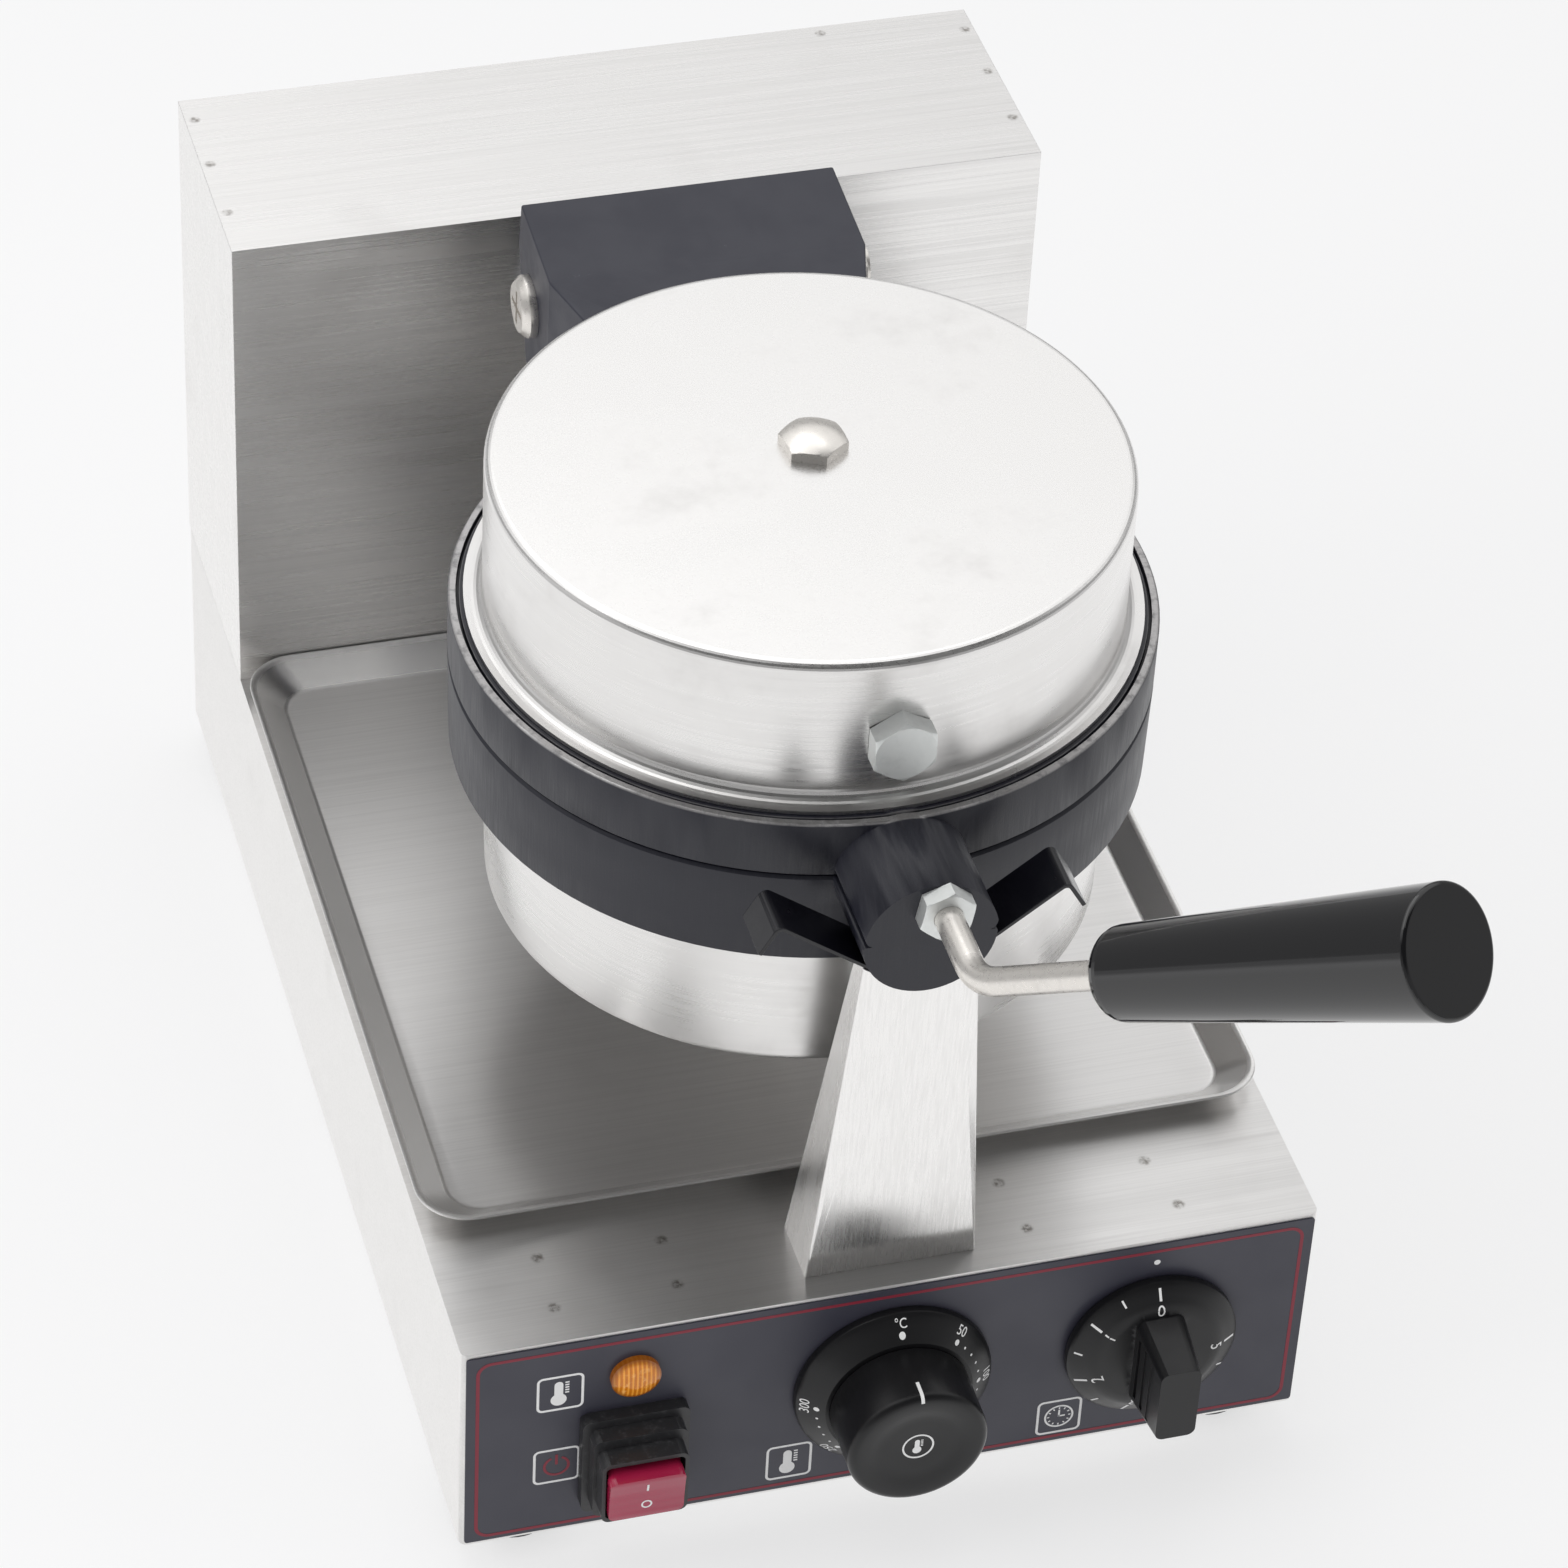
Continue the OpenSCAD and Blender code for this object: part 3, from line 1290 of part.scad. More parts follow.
module hinge_yoke() {
    foot_top = -half_gap - 0.8;
    foot_low = -lower_out + 1;
    color("#3c3c44") on_axis() difference() {
        union() {
            block([-pad_w / 2, pad_y, foot_low], [pad_w / 2, pad_y + yoke_wall, foot_top]);
            block([-yoke_w / 2, pad_y, foot_low], [yoke_w / 2, yoke_back - yoke_hub_t + 2, foot_top]);
            block([-yoke_w / 2, shaft_front + 1, foot_top - 1],
                [yoke_w / 2, yoke_back - yoke_hub_t + 2, yoke_rise]);
            across_x(web_w, [[pin_back - barrel_r, pin_up], [pin_back - barrel_r, foot_top - 2],
                [pin_back + 12, foot_top - 2], [pin_back + 10.6, pin_up - 10.6], [pin_back, pin_up]]);
            translate([0, pin_back, pin_up]) rod_x(barrel_r, -barrel_w / 2, barrel_w / 2);
            rod_y(yoke_hub_r, yoke_back - yoke_hub_t, yoke_back);
        }
        rod_y(shaft_r + slip / 2, shaft_front - 0.5, yoke_back + eps);
        translate([0, pin_back, pin_up]) rod_x(pin_r + run_clear, -arm_w, arm_w);
        mirror([0, 0, 1]) yoke_bolt_places() rod_y(m6_r + slip, pad_y - eps, pad_y + yoke_wall + eps);
    }
}

module yoke_bolts() {
    color("silver") on_axis() mirror([0, 0, 1]) yoke_bolt_places()
        translate([0, pad_y + yoke_wall, 0]) rotate([0, 0, 180])
            hex_bolt_y(m6_r, m6_af, m6_head, yoke_wall + yoke_bolt_bite);
}

module pivot_shaft() {
    color("silver") on_axis() difference() {
        rod_y(shaft_r, shaft_front, shaft_back);
        rod_y(shaft_r - shaft_wall, shaft_front - eps, shaft_back + eps);
    }
}

module shaft_collar() {
    color("dimgray") on_axis() difference() {
        union() {
            rod_y(collar_r, collar_y, collar_y + collar_t);
            translate([0, collar_y + collar_t / 2, 0])
                rod_x(stop_pin_r, -collar_r - stop_pin_len, -shaft_r - 2);
        }
        rod_y(shaft_r + slip / 2, collar_y - eps, collar_y + collar_t + eps);
    }
}

// ---- Handle ----

module handle_rod() {
    straight = bend_r * tan(bend_a / 2);
    inside = -bake_r + 0.5;
    color("silver") on_axis()
        translate([rod_side, boss_y - rod_out, rod_up]) rotate([0, -handle_turn, 0]) {
            rod_y(rod_r, straight - bend_lap, inside - boss_y + rod_out);
            translate([bend_r, straight, 0]) rotate([0, 0, 180])
                rotate_extrude(angle = bend_a) translate([bend_r, 0]) circle(rod_r - bend_thin);
            rotate([0, 0, bend_a]) rod_y(rod_r, -grip_start - grip_len * 0.8, -straight + bend_lap);
        }
}

module lock_nut() {
    color("silver") on_axis() translate([rod_side, 0, rod_up]) difference() {
        intersection() {
            rotate([0, lock_nut_turn, 0]) hex_y(lock_nut_af, boss_y - lock_nut_t, boss_y);
            translate([0, boss_y - lock_nut_t, 0]) rotate([-90, 0, 0])
                cylinder(r1 = lock_nut_af / 2 + 0.2, r2 = lock_nut_af / 2 + 2 * lock_nut_t, h = lock_nut_t);
        }
        rod_y(rod_r + slip / 2, boss_y - lock_nut_t - eps, boss_y + eps);
    }
}

module grip() {
    e1 = 5;
    e2 = 1.2;
    color("#101012") on_axis() translate([rod_side, boss_y - rod_out, rod_up])
        rotate([0, -handle_turn, 0]) rotate([0, 0, bend_a]) translate([0, -grip_start, 0]) rotate([90, 0, 0])
            difference() {
                rotate_extrude() polygon(concat([[0, 0]], arc(grip_r1 - e1, e1, e1, 270, 360),
                    arc(grip_r2 - e2, grip_len - e2, e2, 0, 90), [[0, grip_len]]));
                rod_z(rod_r + slip / 2, -eps, grip_len * 0.8 + 1);
            }
}

// ---- Draw ----
base_shell();
base_back();
bottom_plate();
bottom_screws();
feet();
foot_screws();
panel_overlay();
housing_shell();
housing_screws();
rear_cover();
rear_cover_screws();
cable_gland();
gland_nut();
terminal_block();
block_screws();
pivot_bearing();
bearing_bolts();
thrust_washer();
turn_stop();
stand();
stand_screws();
saddle();
thermostat_body();
scale_ring();
timer_body();
switch_body();
switch_boot();
lamp_body();
lamp_lens();
drip_tray();
rocker();
thermostat_knob();
thermostat_shaft();
timer_knob();
timer_shaft();
lower_casting();
lower_cover();
lower_element();
lower_clamp();
lower_stud();
lower_cover_nut();
lower_side_bolt();
hinge_yoke();
yoke_bolts();
pivot_shaft();
shaft_collar();
upper_casting();
upper_cover();
upper_element();
upper_clamp();
upper_stud();
upper_cover_nut();
upper_side_bolt();
hinge_arm();
arm_bolts();
hinge_pin();
handle_rod();
lock_nut();
grip();
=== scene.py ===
"""Dresses the waffle cone maker's CAD nodes, adds its tray, lens and prints, and lights it."""
import math

import bmesh
import bpy
from mathutils import Matrix, Vector
from mathutils.bvhtree import BVHTree


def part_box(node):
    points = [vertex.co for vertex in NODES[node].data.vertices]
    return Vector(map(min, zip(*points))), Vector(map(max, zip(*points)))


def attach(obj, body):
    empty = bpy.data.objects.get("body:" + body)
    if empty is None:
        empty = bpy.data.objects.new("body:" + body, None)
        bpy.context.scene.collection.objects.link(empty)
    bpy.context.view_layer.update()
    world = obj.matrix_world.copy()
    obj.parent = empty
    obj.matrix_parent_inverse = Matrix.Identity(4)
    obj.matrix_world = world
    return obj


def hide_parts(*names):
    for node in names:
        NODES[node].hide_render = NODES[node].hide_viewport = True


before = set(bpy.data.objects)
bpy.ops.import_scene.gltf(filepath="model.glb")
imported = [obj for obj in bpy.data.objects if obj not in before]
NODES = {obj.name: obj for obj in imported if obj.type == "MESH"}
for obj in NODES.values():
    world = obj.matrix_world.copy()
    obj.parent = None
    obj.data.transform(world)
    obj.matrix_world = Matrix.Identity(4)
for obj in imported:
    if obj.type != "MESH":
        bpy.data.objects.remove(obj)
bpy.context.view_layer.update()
MM = 0.001

# ---- Places taken from the frame ----
DECK_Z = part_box("base_shell")[1].z
BASE_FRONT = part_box("base_shell")[0].y
HOUSING_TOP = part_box("housing_shell")[1].z
HEAD_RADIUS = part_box("upper_casting")[1].x


def centre(node):
    low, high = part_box(node)
    return (low + high) / 2


def centre_mm(node):
    return [value / MM for value in centre(node)]


def spread(base, offsets_mm):
    """Places at some offsets in millimetres from a place in metres."""
    return [base + offset * MM for offset in offsets_mm]


# ---- Camera, solved from the photo's straight edges ----
CAM_AZIMUTH = math.radians(-17.72)
CAM_ELEVATION = math.radians(40.18)
CAM_ROLL = math.radians(3.25)
CAM_PLACE = (-0.39396, -1.22438, 1.25423)
CAM_FOCAL_PX = 5898.4
CAM_CLIP = (0.05, 20.0)
FRAME_PX = 1568
SENSOR_MM = 36.0


def make_camera():
    back = Vector((
        math.sin(CAM_AZIMUTH) * math.cos(CAM_ELEVATION),
        -math.cos(CAM_AZIMUTH) * math.cos(CAM_ELEVATION),
        math.sin(CAM_ELEVATION),
    ))
    right = (-back).cross(Vector((0, 0, 1))).normalized()
    up = right.cross(-back)
    x_axis = right * math.cos(CAM_ROLL) + up * math.sin(CAM_ROLL)
    y_axis = up * math.cos(CAM_ROLL) - right * math.sin(CAM_ROLL)
    data = bpy.data.cameras.new("camera")
    data.sensor_width = SENSOR_MM
    data.lens = CAM_FOCAL_PX / FRAME_PX * SENSOR_MM
    data.clip_start, data.clip_end = CAM_CLIP
    camera = bpy.data.objects.new("camera", data)
    bpy.context.scene.collection.objects.link(camera)
    turn = Matrix((x_axis, y_axis, back)).transposed().to_4x4()
    camera.matrix_world = Matrix.Translation(CAM_PLACE) @ turn
    bpy.context.scene.camera = camera


# ---- Node helpers ----
WHITE = (1.0, 1.0, 1.0, 1.0)
QUARTER_TURN = 0.25


class Graph:
    """Short calls that add nodes to a tree. A value is a number or another node's output."""

    def __init__(self, tree):
        self.nodes = tree.nodes
        self.links = tree.links

    def feed(self, socket, value):
        if isinstance(value, (int, float)):
            socket.default_value = value
        else:
            self.links.new(value, socket)

    def coordinate(self, label):
        return self.nodes.new("ShaderNodeTexCoord").outputs[label]

    def math(self, kind, *values):
        node = self.nodes.new("ShaderNodeMath")
        node.operation = kind
        for socket, value in zip(node.inputs, values):
            self.feed(socket, value)
        return node.outputs[0]

    def split(self, vector):
        node = self.nodes.new("ShaderNodeSeparateXYZ")
        self.links.new(vector, node.inputs[0])
        return node.outputs

    def join(self, *values):
        node = self.nodes.new("ShaderNodeCombineXYZ")
        for socket, value in zip(node.inputs, values):
            self.feed(socket, value)
        return node.outputs[0]

    def distance(self, vector, place):
        node = self.nodes.new("ShaderNodeVectorMath")
        node.operation = "DISTANCE"
        node.inputs[1].default_value = place
        self.links.new(vector, node.inputs[0])
        return node.outputs["Value"]

    def ramp(self, value, span, out=(0.0, 1.0), kind="SMOOTHSTEP"):
        """Takes a value from one span to another and holds it at both ends."""
        node = self.nodes.new("ShaderNodeMapRange")
        node.interpolation_type = kind
        labels = ("From Min", "From Max", "To Min", "To Max")
        for label, number in zip(labels, (*span, *out)):
            node.inputs[label].default_value = number
        self.links.new(value, node.inputs["Value"])
        return node.outputs[0]


class Shader(Graph):
    """A node material with one Principled shader, whose colours and bumps are laid in turn."""

    def __init__(self, name, color, metallic=0.0, roughness=0.5, **sockets):
        self.material = bpy.data.materials.new(name)
        self.material.use_nodes = True
        super().__init__(self.material.node_tree)
        self.inputs = self.nodes["Principled BSDF"].inputs
        self.inputs["Base Color"].default_value = (*color, 1)
        self.inputs["Metallic"].default_value = metallic
        self.inputs["Roughness"].default_value = roughness
        for label, value in sockets.items():
            self.inputs[label.replace("_", " ")].default_value = value
        first = self.nodes.new("ShaderNodeRGB")
        first.outputs[0].default_value = (*color, 1)
        self.color = first.outputs[0]
        self.position = self.coordinate("Object")
        self.normal = None

    def scaled(self, scale):
        node = self.nodes.new("ShaderNodeMapping")
        node.inputs["Scale"].default_value = scale
        self.links.new(self.position, node.inputs["Vector"])
        return node.outputs[0]

    def noise(self, scale, vector=None, detail=3.0, roughness=0.55):
        node = self.nodes.new("ShaderNodeTexNoise")
        node.inputs["Scale"].default_value = scale
        node.inputs["Detail"].default_value = detail
        node.inputs["Roughness"].default_value = roughness
        self.links.new(vector or self.position, node.inputs["Vector"])
        return node.outputs[0]

    def polar(self):
        """Angle and radius about the head's upright centre line, and the height."""
        x, y, z = self.split(self.position)
        squared = self.math("ADD", self.math("MULTIPLY", x, x), self.math("MULTIPLY", y, y))
        return self.math("ARCTAN2", y, x), self.math("SQRT", squared), z

    def tint(self, amount, color):
        """Mixes the colour so far with another, by an amount from 0 to 1."""
        node = self.nodes.new("ShaderNodeMix")
        node.data_type = "RGBA"
        self.links.new(amount, node.inputs["Factor"])
        self.links.new(self.color, node.inputs["A"])
        node.inputs["B"].default_value = (*color, 1)
        self.color = node.outputs["Result"]

    def rough(self, value):
        self.links.new(value, self.inputs["Roughness"])

    def metal(self, value):
        self.links.new(value, self.inputs["Metallic"])

    def bump(self, height, depth_mm):
        node = self.nodes.new("ShaderNodeBump")
        node.inputs["Distance"].default_value = depth_mm * MM
        node.inputs["Strength"].default_value = 1.0
        self.links.new(height, node.inputs["Height"])
        if self.normal is not None:
            self.links.new(self.normal, node.inputs["Normal"])
        self.normal = node.outputs[0]

    def brushed_along(self, axis, amount):
        """Stretches highlights across the grain, which runs along an axis: 0, 1 or 2."""
        direction = self.join(*(1.0 if i == axis else 0.0 for i in range(3)))
        self.links.new(direction, self.inputs["Tangent"])
        self.inputs["Anisotropic"].default_value = amount
        self.inputs["Anisotropic Rotation"].default_value = QUARTER_TURN

    def weld_marks(self, places, radius_mm):
        """Small round marks of spot welds, broken up and sunk a little."""
        total = None
        for place in places:
            away = self.distance(self.position, place)
            near = self.ramp(away, (radius_mm * 0.35 * MM, radius_mm * MM), (1.0, 0.0))
            total = near if total is None else self.math("MAXIMUM", total, near)
        specks = self.ramp(self.noise(900), (0.35, 0.65), (0.25, 1.0))
        broken = self.math("MULTIPLY", total, specks)
        self.tint(broken, WELD)
        self.bump(broken, -WELD_DEPTH)

    def done(self):
        self.links.new(self.color, self.inputs["Base Color"])
        if self.normal is not None:
            self.links.new(self.normal, self.inputs["Normal"])
        return self.material


# ---- Materials ----
STEEL = (0.88, 0.87, 0.86)
# Darker steel for the scratches of the grain, and for the painted shade on the covers' walls
STEEL_GRAIN_AND_SHADE = (0.70, 0.69, 0.68)
STEEL_SMUDGE = (0.60, 0.585, 0.57)
STEEL_BARE = (0.50, 0.49, 0.49)
WELD = (0.33, 0.31, 0.29)
SLATE = (0.012, 0.0125, 0.020)
SLATE_STREAK = (0.030, 0.030, 0.042)
SATIN = (0.022, 0.023, 0.036)
SATIN_SCUFF = (0.14, 0.14, 0.16)
RUBBER = (0.022, 0.022, 0.024)
RUBBER_DUST = (0.11, 0.11, 0.115)
FILM = (0.036, 0.036, 0.053)
HEATED = (0.30, 0.24, 0.21)
HEATED_BLUE = (0.16, 0.12, 0.14)
AMBER = (0.50, 0.15, 0.005)
AMBER_RIB_HIGHLIGHT = (1.0, 0.45, 0.06)
AMBER_GLINT_HIGHLIGHT = (1.0, 0.62, 0.22)
AMBER_RIM = (0.09, 0.018, 0.002)
AMBER_GLOW = (1.0, 0.30, 0.02, 1.0)

# Scratches of brushed steel, per metre
GRAIN_ACROSS = 1500.0
GRAIN_ALONG = 12.0
SHEET_STRETCH = 0.9
# Roughness of the sheet, from its clean bands to its dull ones
SHEET_ROUGH = (0.24, 0.32)
DECK_ROUGH = (0.34, 0.42)
TRAY_ROUGHNESS = 0.40
SLOPE_ROUGHNESS = 0.26

# Spot welds, as (x, y) in millimetres on the deck and the housing's top, y from the base's front
DECK_WELDS = [
    (-95.5, 33), (-95.6, 13), (-60, 32), (-60, 14), (39.4, 32.5), (41.8, 13), (83, 31.7),
    (87, 12.6),
]
TOP_WELDS = [(-122, 321), (-122, 347), (-122, 371), (122, 321), (122, 347), (122, 371), (77, 378)]
DECK_WELD_RADIUS = 2.4
TOP_WELD_RADIUS = 2.2
WELD_DEPTH = 0.05

# Heights in millimetres over the tray's underside where its drawn slope starts and ends
SLOPE_START = (1.1, 1.6)
SLOPE_END = (7.0, 7.6)

# Worn lip of the upper casting in millimetres: heights from its top, and radii from its edge
LIP_HEIGHTS = (-1.1, -0.5)
LIP_INNER = (-3.6, -2.6)
LIP_OUTER = (-0.2, 0.6)
# Distances in millimetres from a cover's end over which its flat gives way to its wall
COVER_TURN = (0.8, 2.0)

LENS_RIBS = 11


def brushed_sheet(name, axis, rough=SHEET_ROUGH):
    """Brushed steel sheet whose scratches run along an axis: 0 for X, 1 for Y, 2 for Z."""
    shader = Shader(name, STEEL, metallic=1.0)
    scale = [GRAIN_ACROSS] * 3
    scale[axis] = GRAIN_ALONG
    stretched = shader.scaled(scale)
    fine = shader.noise(1.0, stretched, detail=4.0, roughness=0.7)
    band = shader.noise(0.09, stretched, detail=2.0)
    cloud = shader.noise(16.0)
    shader.tint(shader.ramp(fine, (0.35, 0.75), (0.0, 0.36)), STEEL_GRAIN_AND_SHADE)
    shader.tint(shader.ramp(cloud, (0.56, 0.80), (0.0, 0.30)), STEEL_SMUDGE)
    shares = shader.math("MULTIPLY", fine, 0.6), shader.math("MULTIPLY", band, 0.4)
    shader.rough(shader.ramp(shader.math("ADD", *shares), (0.3, 0.7), rough))
    shader.bump(fine, 0.0022)
    shader.brushed_along(axis, SHEET_STRETCH)
    return shader


def welded_sheet(name, rough, welds, height, radius_mm):
    """Sheet brushed along X, with spot welds at a height."""
    shader = brushed_sheet(name, 0, rough)
    places = [(x * MM, y * MM + BASE_FRONT, height) for x, y in welds]
    shader.weld_marks(places, radius_mm)
    return shader.done()


def tray_sheet():
    """Sheet brushed along X, evenly dull, and drawn smooth on the tray's slopes."""
    shader = brushed_sheet("tray_steel", 0)
    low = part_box("drip_tray")[0].z
    height = shader.split(shader.position)[2]
    over = shader.ramp(height, spread(low, SLOPE_START))
    under = shader.ramp(height, spread(low, SLOPE_END), (1.0, 0.0))
    drawn = shader.math("MULTIPLY", over, under)
    shader.rough(shader.ramp(drawn, (0.0, 1.0), (TRAY_ROUGHNESS, SLOPE_ROUGHNESS)))
    return shader.done()


def spun_cover():
    """Steel cover: scratches run round its wall, and every way on its flat top. Its wall is tinted
    darker than its flat ends, as painted shade.
    """
    shader = Shader("spun_cover_steel", STEEL, metallic=1.0)
    angle, _, height = shader.polar()
    ends = [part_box("upper_cover")[1].z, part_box("lower_cover")[0].z]
    flat = shader.math("MAXIMUM", *(
        shader.ramp(
            shader.math("ABSOLUTE", shader.math("SUBTRACT", height, end)),
            spread(0.0, COVER_TURN), (1.0, 0.0),
        )
        for end in ends
    ))
    round_wall = shader.join(
        shader.math("MULTIPLY", angle, GRAIN_ALONG * HEAD_RADIUS),
        0.0,
        shader.math("MULTIPLY", height, GRAIN_ACROSS * 0.5),
    )
    fine = shader.noise(1.0, round_wall, detail=4.0, roughness=0.7)
    lint = shader.noise(1.0, shader.scaled((900.0, 2200.0, 900.0)), roughness=0.7)
    marks = shader.math(
        "ADD",
        shader.math("MULTIPLY", lint, flat),
        shader.math("MULTIPLY", fine, shader.math("SUBTRACT", 1.0, flat)),
    )
    stain = shader.noise(26.0, detail=5.0, roughness=0.65)
    # Painted shade: the wall is tinted darker than the flat ends.
    shader.tint(shader.ramp(flat, (0.0, 1.0), (0.45, 0.0)), STEEL_GRAIN_AND_SHADE)
    shader.tint(shader.ramp(marks, (0.40, 0.75), (0.0, 0.10)), STEEL_GRAIN_AND_SHADE)
    shader.tint(shader.ramp(stain, (0.52, 0.74), (0.0, 0.30)), STEEL_SMUDGE)
    shader.rough(shader.ramp(shader.math("ADD", marks, stain), (0.8, 1.3), (0.26, 0.38)))
    shader.bump(marks, 0.0012)
    return shader.done()


def coated_casting():
    """Dark coating over a turned casting, worn to bare metal on the upper casting's lip."""
    shader = Shader("coated_casting", SLATE, roughness=0.45)
    angle, radius, height = shader.polar()
    turned = shader.join(
        shader.math("MULTIPLY", angle, 260.0),
        shader.math("MULTIPLY", radius, 90.0),
        shader.math("MULTIPLY", height, 60.0),
    )
    streaks = shader.noise(1.0, turned, detail=4.0, roughness=0.7)
    shader.tint(shader.ramp(streaks, (0.45, 0.80), (0.0, 0.55)), SLATE_STREAK)
    shader.rough(shader.ramp(streaks, (0.3, 0.7), (0.36, 0.52)))
    shader.bump(streaks, 0.03)
    shader.bump(shader.noise(1400.0, detail=2.0), 0.025)
    above = shader.ramp(height, spread(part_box("upper_casting")[1].z, LIP_HEIGHTS))
    inside = shader.ramp(radius, spread(HEAD_RADIUS, LIP_INNER))
    outside = shader.ramp(radius, spread(HEAD_RADIUS, LIP_OUTER), (1.0, 0.0))
    broken = shader.ramp(
        shader.noise(260.0, detail=5.0, roughness=0.7), (0.30, 0.55), (0.45, 1.0),
    )
    worn = shader.math(
        "MULTIPLY",
        shader.math("MULTIPLY", above, inside),
        shader.math("MULTIPLY", outside, broken),
    )
    shader.tint(worn, STEEL_BARE)
    shader.metal(worn)
    return shader.done()


def satin_casting():
    """Smooth dark coating of the hinge pieces."""
    shader = Shader("satin_casting", SATIN, roughness=0.42)
    shader.rough(shader.ramp(shader.noise(60.0, detail=4.0), (0.3, 0.7), (0.36, 0.5)))
    shader.bump(shader.noise(1100.0), 0.03)
    scuffs = shader.noise(90.0, detail=6.0, roughness=0.8)
    shader.tint(shader.ramp(scuffs, (0.66, 0.74), (0.0, 0.5)), SATIN_SCUFF)
    return shader.done()


def moulded(name, color, roughness, pore_mm=0.012, pore_scale=1800.0, **sockets):
    """Moulded plastic or rubber, with fine pores and an uneven sheen."""
    shader = Shader(name, color, roughness=roughness, **sockets)
    shader.rough(shader.ramp(shader.noise(70.0), (0.3, 0.7), (roughness * 0.85, roughness * 1.15)))
    shader.bump(shader.noise(pore_scale, detail=2.0), pore_mm)
    return shader.done()


def plated(name, color, roughness, metallic=1.0):
    """Plated or machined steel with faint tool marks and stains; a dull coat is less metallic."""
    shader = Shader(name, color, metallic=metallic)
    marks = shader.noise(700.0, detail=4.0, roughness=0.7)
    shader.rough(shader.ramp(marks, (0.3, 0.7), (roughness * 0.85, roughness * 1.2)))
    stain = shader.ramp(shader.noise(240.0), (0.5, 0.75), (0.0, 0.25))
    shader.tint(stain, [0.7 * c for c in color])
    shader.bump(marks, 0.002)
    return shader.done()


def rubber_boot():
    """Black rubber with a pale bloom of dust on its ribs."""
    shader = Shader("boot_rubber", RUBBER)
    bloom = shader.noise(420.0, detail=6.0, roughness=0.75)
    dust = shader.ramp(bloom, (0.52, 0.72), (0.0, 0.45))
    shader.tint(dust, RUBBER_DUST)
    shader.rough(shader.ramp(dust, (0.0, 0.4), (0.38, 0.7)))
    shader.bump(shader.noise(900.0), 0.03)
    return shader.done()


def overlay_film():
    """Satin printed film on the control panel."""
    shader = Shader("overlay_film", FILM, roughness=0.42)
    shader.rough(shader.ramp(shader.noise(40.0), (0.3, 0.7), (0.38, 0.5)))
    shader.bump(shader.noise(1500.0, detail=2.0), 0.006)
    return shader.done()


def heated_tube():
    """Tube of the heating rings, discoloured by heat."""
    shader = Shader("heat_tinted_tube", HEATED, metallic=1.0, roughness=0.4)
    shader.tint(shader.ramp(shader.noise(60.0, detail=4.0), (0.4, 0.7), (0.0, 0.7)), HEATED_BLUE)
    shader.bump(shader.noise(800.0), 0.02)
    return shader.done()


def ink(name, color):
    """Printed ink, slightly uneven."""
    shader = Shader(name, color)
    worn = shader.ramp(shader.noise(1400.0), (0.62, 0.78), (0.0, 0.35))
    shader.tint(worn, [0.55 * c for c in color])
    return shader.done()


def lit_lens():
    """Amber lens with a little light behind it, with painted highlights that make its ribs brighter
    and add small glints, and dark at its rim.
    """
    shader = Shader(
        "amber_lens", AMBER, roughness=0.14, Emission_Strength=0.10, Emission_Color=AMBER_GLOW,
    )
    low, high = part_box("lamp_lens")
    width = high.x - low.x
    away = shader.distance(shader.position, (low + high) / 2)
    across = shader.split(shader.position)[0]
    ribs = shader.math("SINE", shader.math("MULTIPLY", across, 2 * math.pi * LENS_RIBS / width))
    # Painted highlight: lighter bands on the ribs and small bright glints stand in for the lamp's
    # light through the lens.
    shader.tint(shader.ramp(ribs, (-0.4, 1.0), (0.0, 0.7)), AMBER_RIB_HIGHLIGHT)
    shader.tint(shader.ramp(shader.noise(420.0), (0.5, 0.75), (0.0, 0.6)), AMBER_GLINT_HIGHLIGHT)
    shader.tint(shader.ramp(away, (0.36 * width, 0.51 * width), (0.0, 0.92)), AMBER_RIM)
    return shader.done()


def make_materials():
    return {
        "deck": welded_sheet("deck_steel", DECK_ROUGH, DECK_WELDS, DECK_Z, DECK_WELD_RADIUS),
        "housing": welded_sheet(
            "housing_steel", SHEET_ROUGH, TOP_WELDS, HOUSING_TOP, TOP_WELD_RADIUS,
        ),
        "sheet": brushed_sheet("sheet_steel", 0).done(),
        "stand": brushed_sheet("stand_steel", 2).done(),
        "tray": tray_sheet(),
        "cover": spun_cover(),
        "casting": coated_casting(),
        "hinge": satin_casting(),
        "zinc": plated("zinc_plate", (0.76, 0.78, 0.77), 0.40, 0.7),
        "polished": plated("polished_steel", (0.80, 0.77, 0.73), 0.30, 0.85),
        "iron": plated("machined_iron", (0.20, 0.20, 0.21), 0.42),
        "bronze": plated("bronze", (0.62, 0.42, 0.20), 0.35),
        "tube": heated_tube(),
        "foot": moulded("foot_rubber", (0.02, 0.02, 0.021), 0.7),
        "boot": rubber_boot(),
        "film": overlay_film(),
        "enamel": moulded("black_enamel", (0.005, 0.005, 0.008), 0.24, 0.01, 500.0),
        "black": moulded(
            "black_plastic", (0.009, 0.009, 0.010), 0.34, 0.010, Specular_IOR_Level=0.35,
        ),
        "grip": moulded(
            "grip_phenolic", (0.004, 0.004, 0.005), 0.07, 0.0006, 300.0, Specular_IOR_Level=0.75,
        ),
        "case": moulded("control_case", (0.50, 0.49, 0.47), 0.55),
        "white": moulded("white_plastic", (0.82, 0.80, 0.75), 0.5),
        "amber": lit_lens(),
        "red": moulded("red_rocker", (0.36, 0.012, 0.055), 0.22, 0.004, 700.0, Coat_Weight=0.3),
        "white_ink": ink("white_ink", (0.88, 0.88, 0.88)),
        "red_ink": ink("red_ink", (0.22, 0.010, 0.028)),
    }


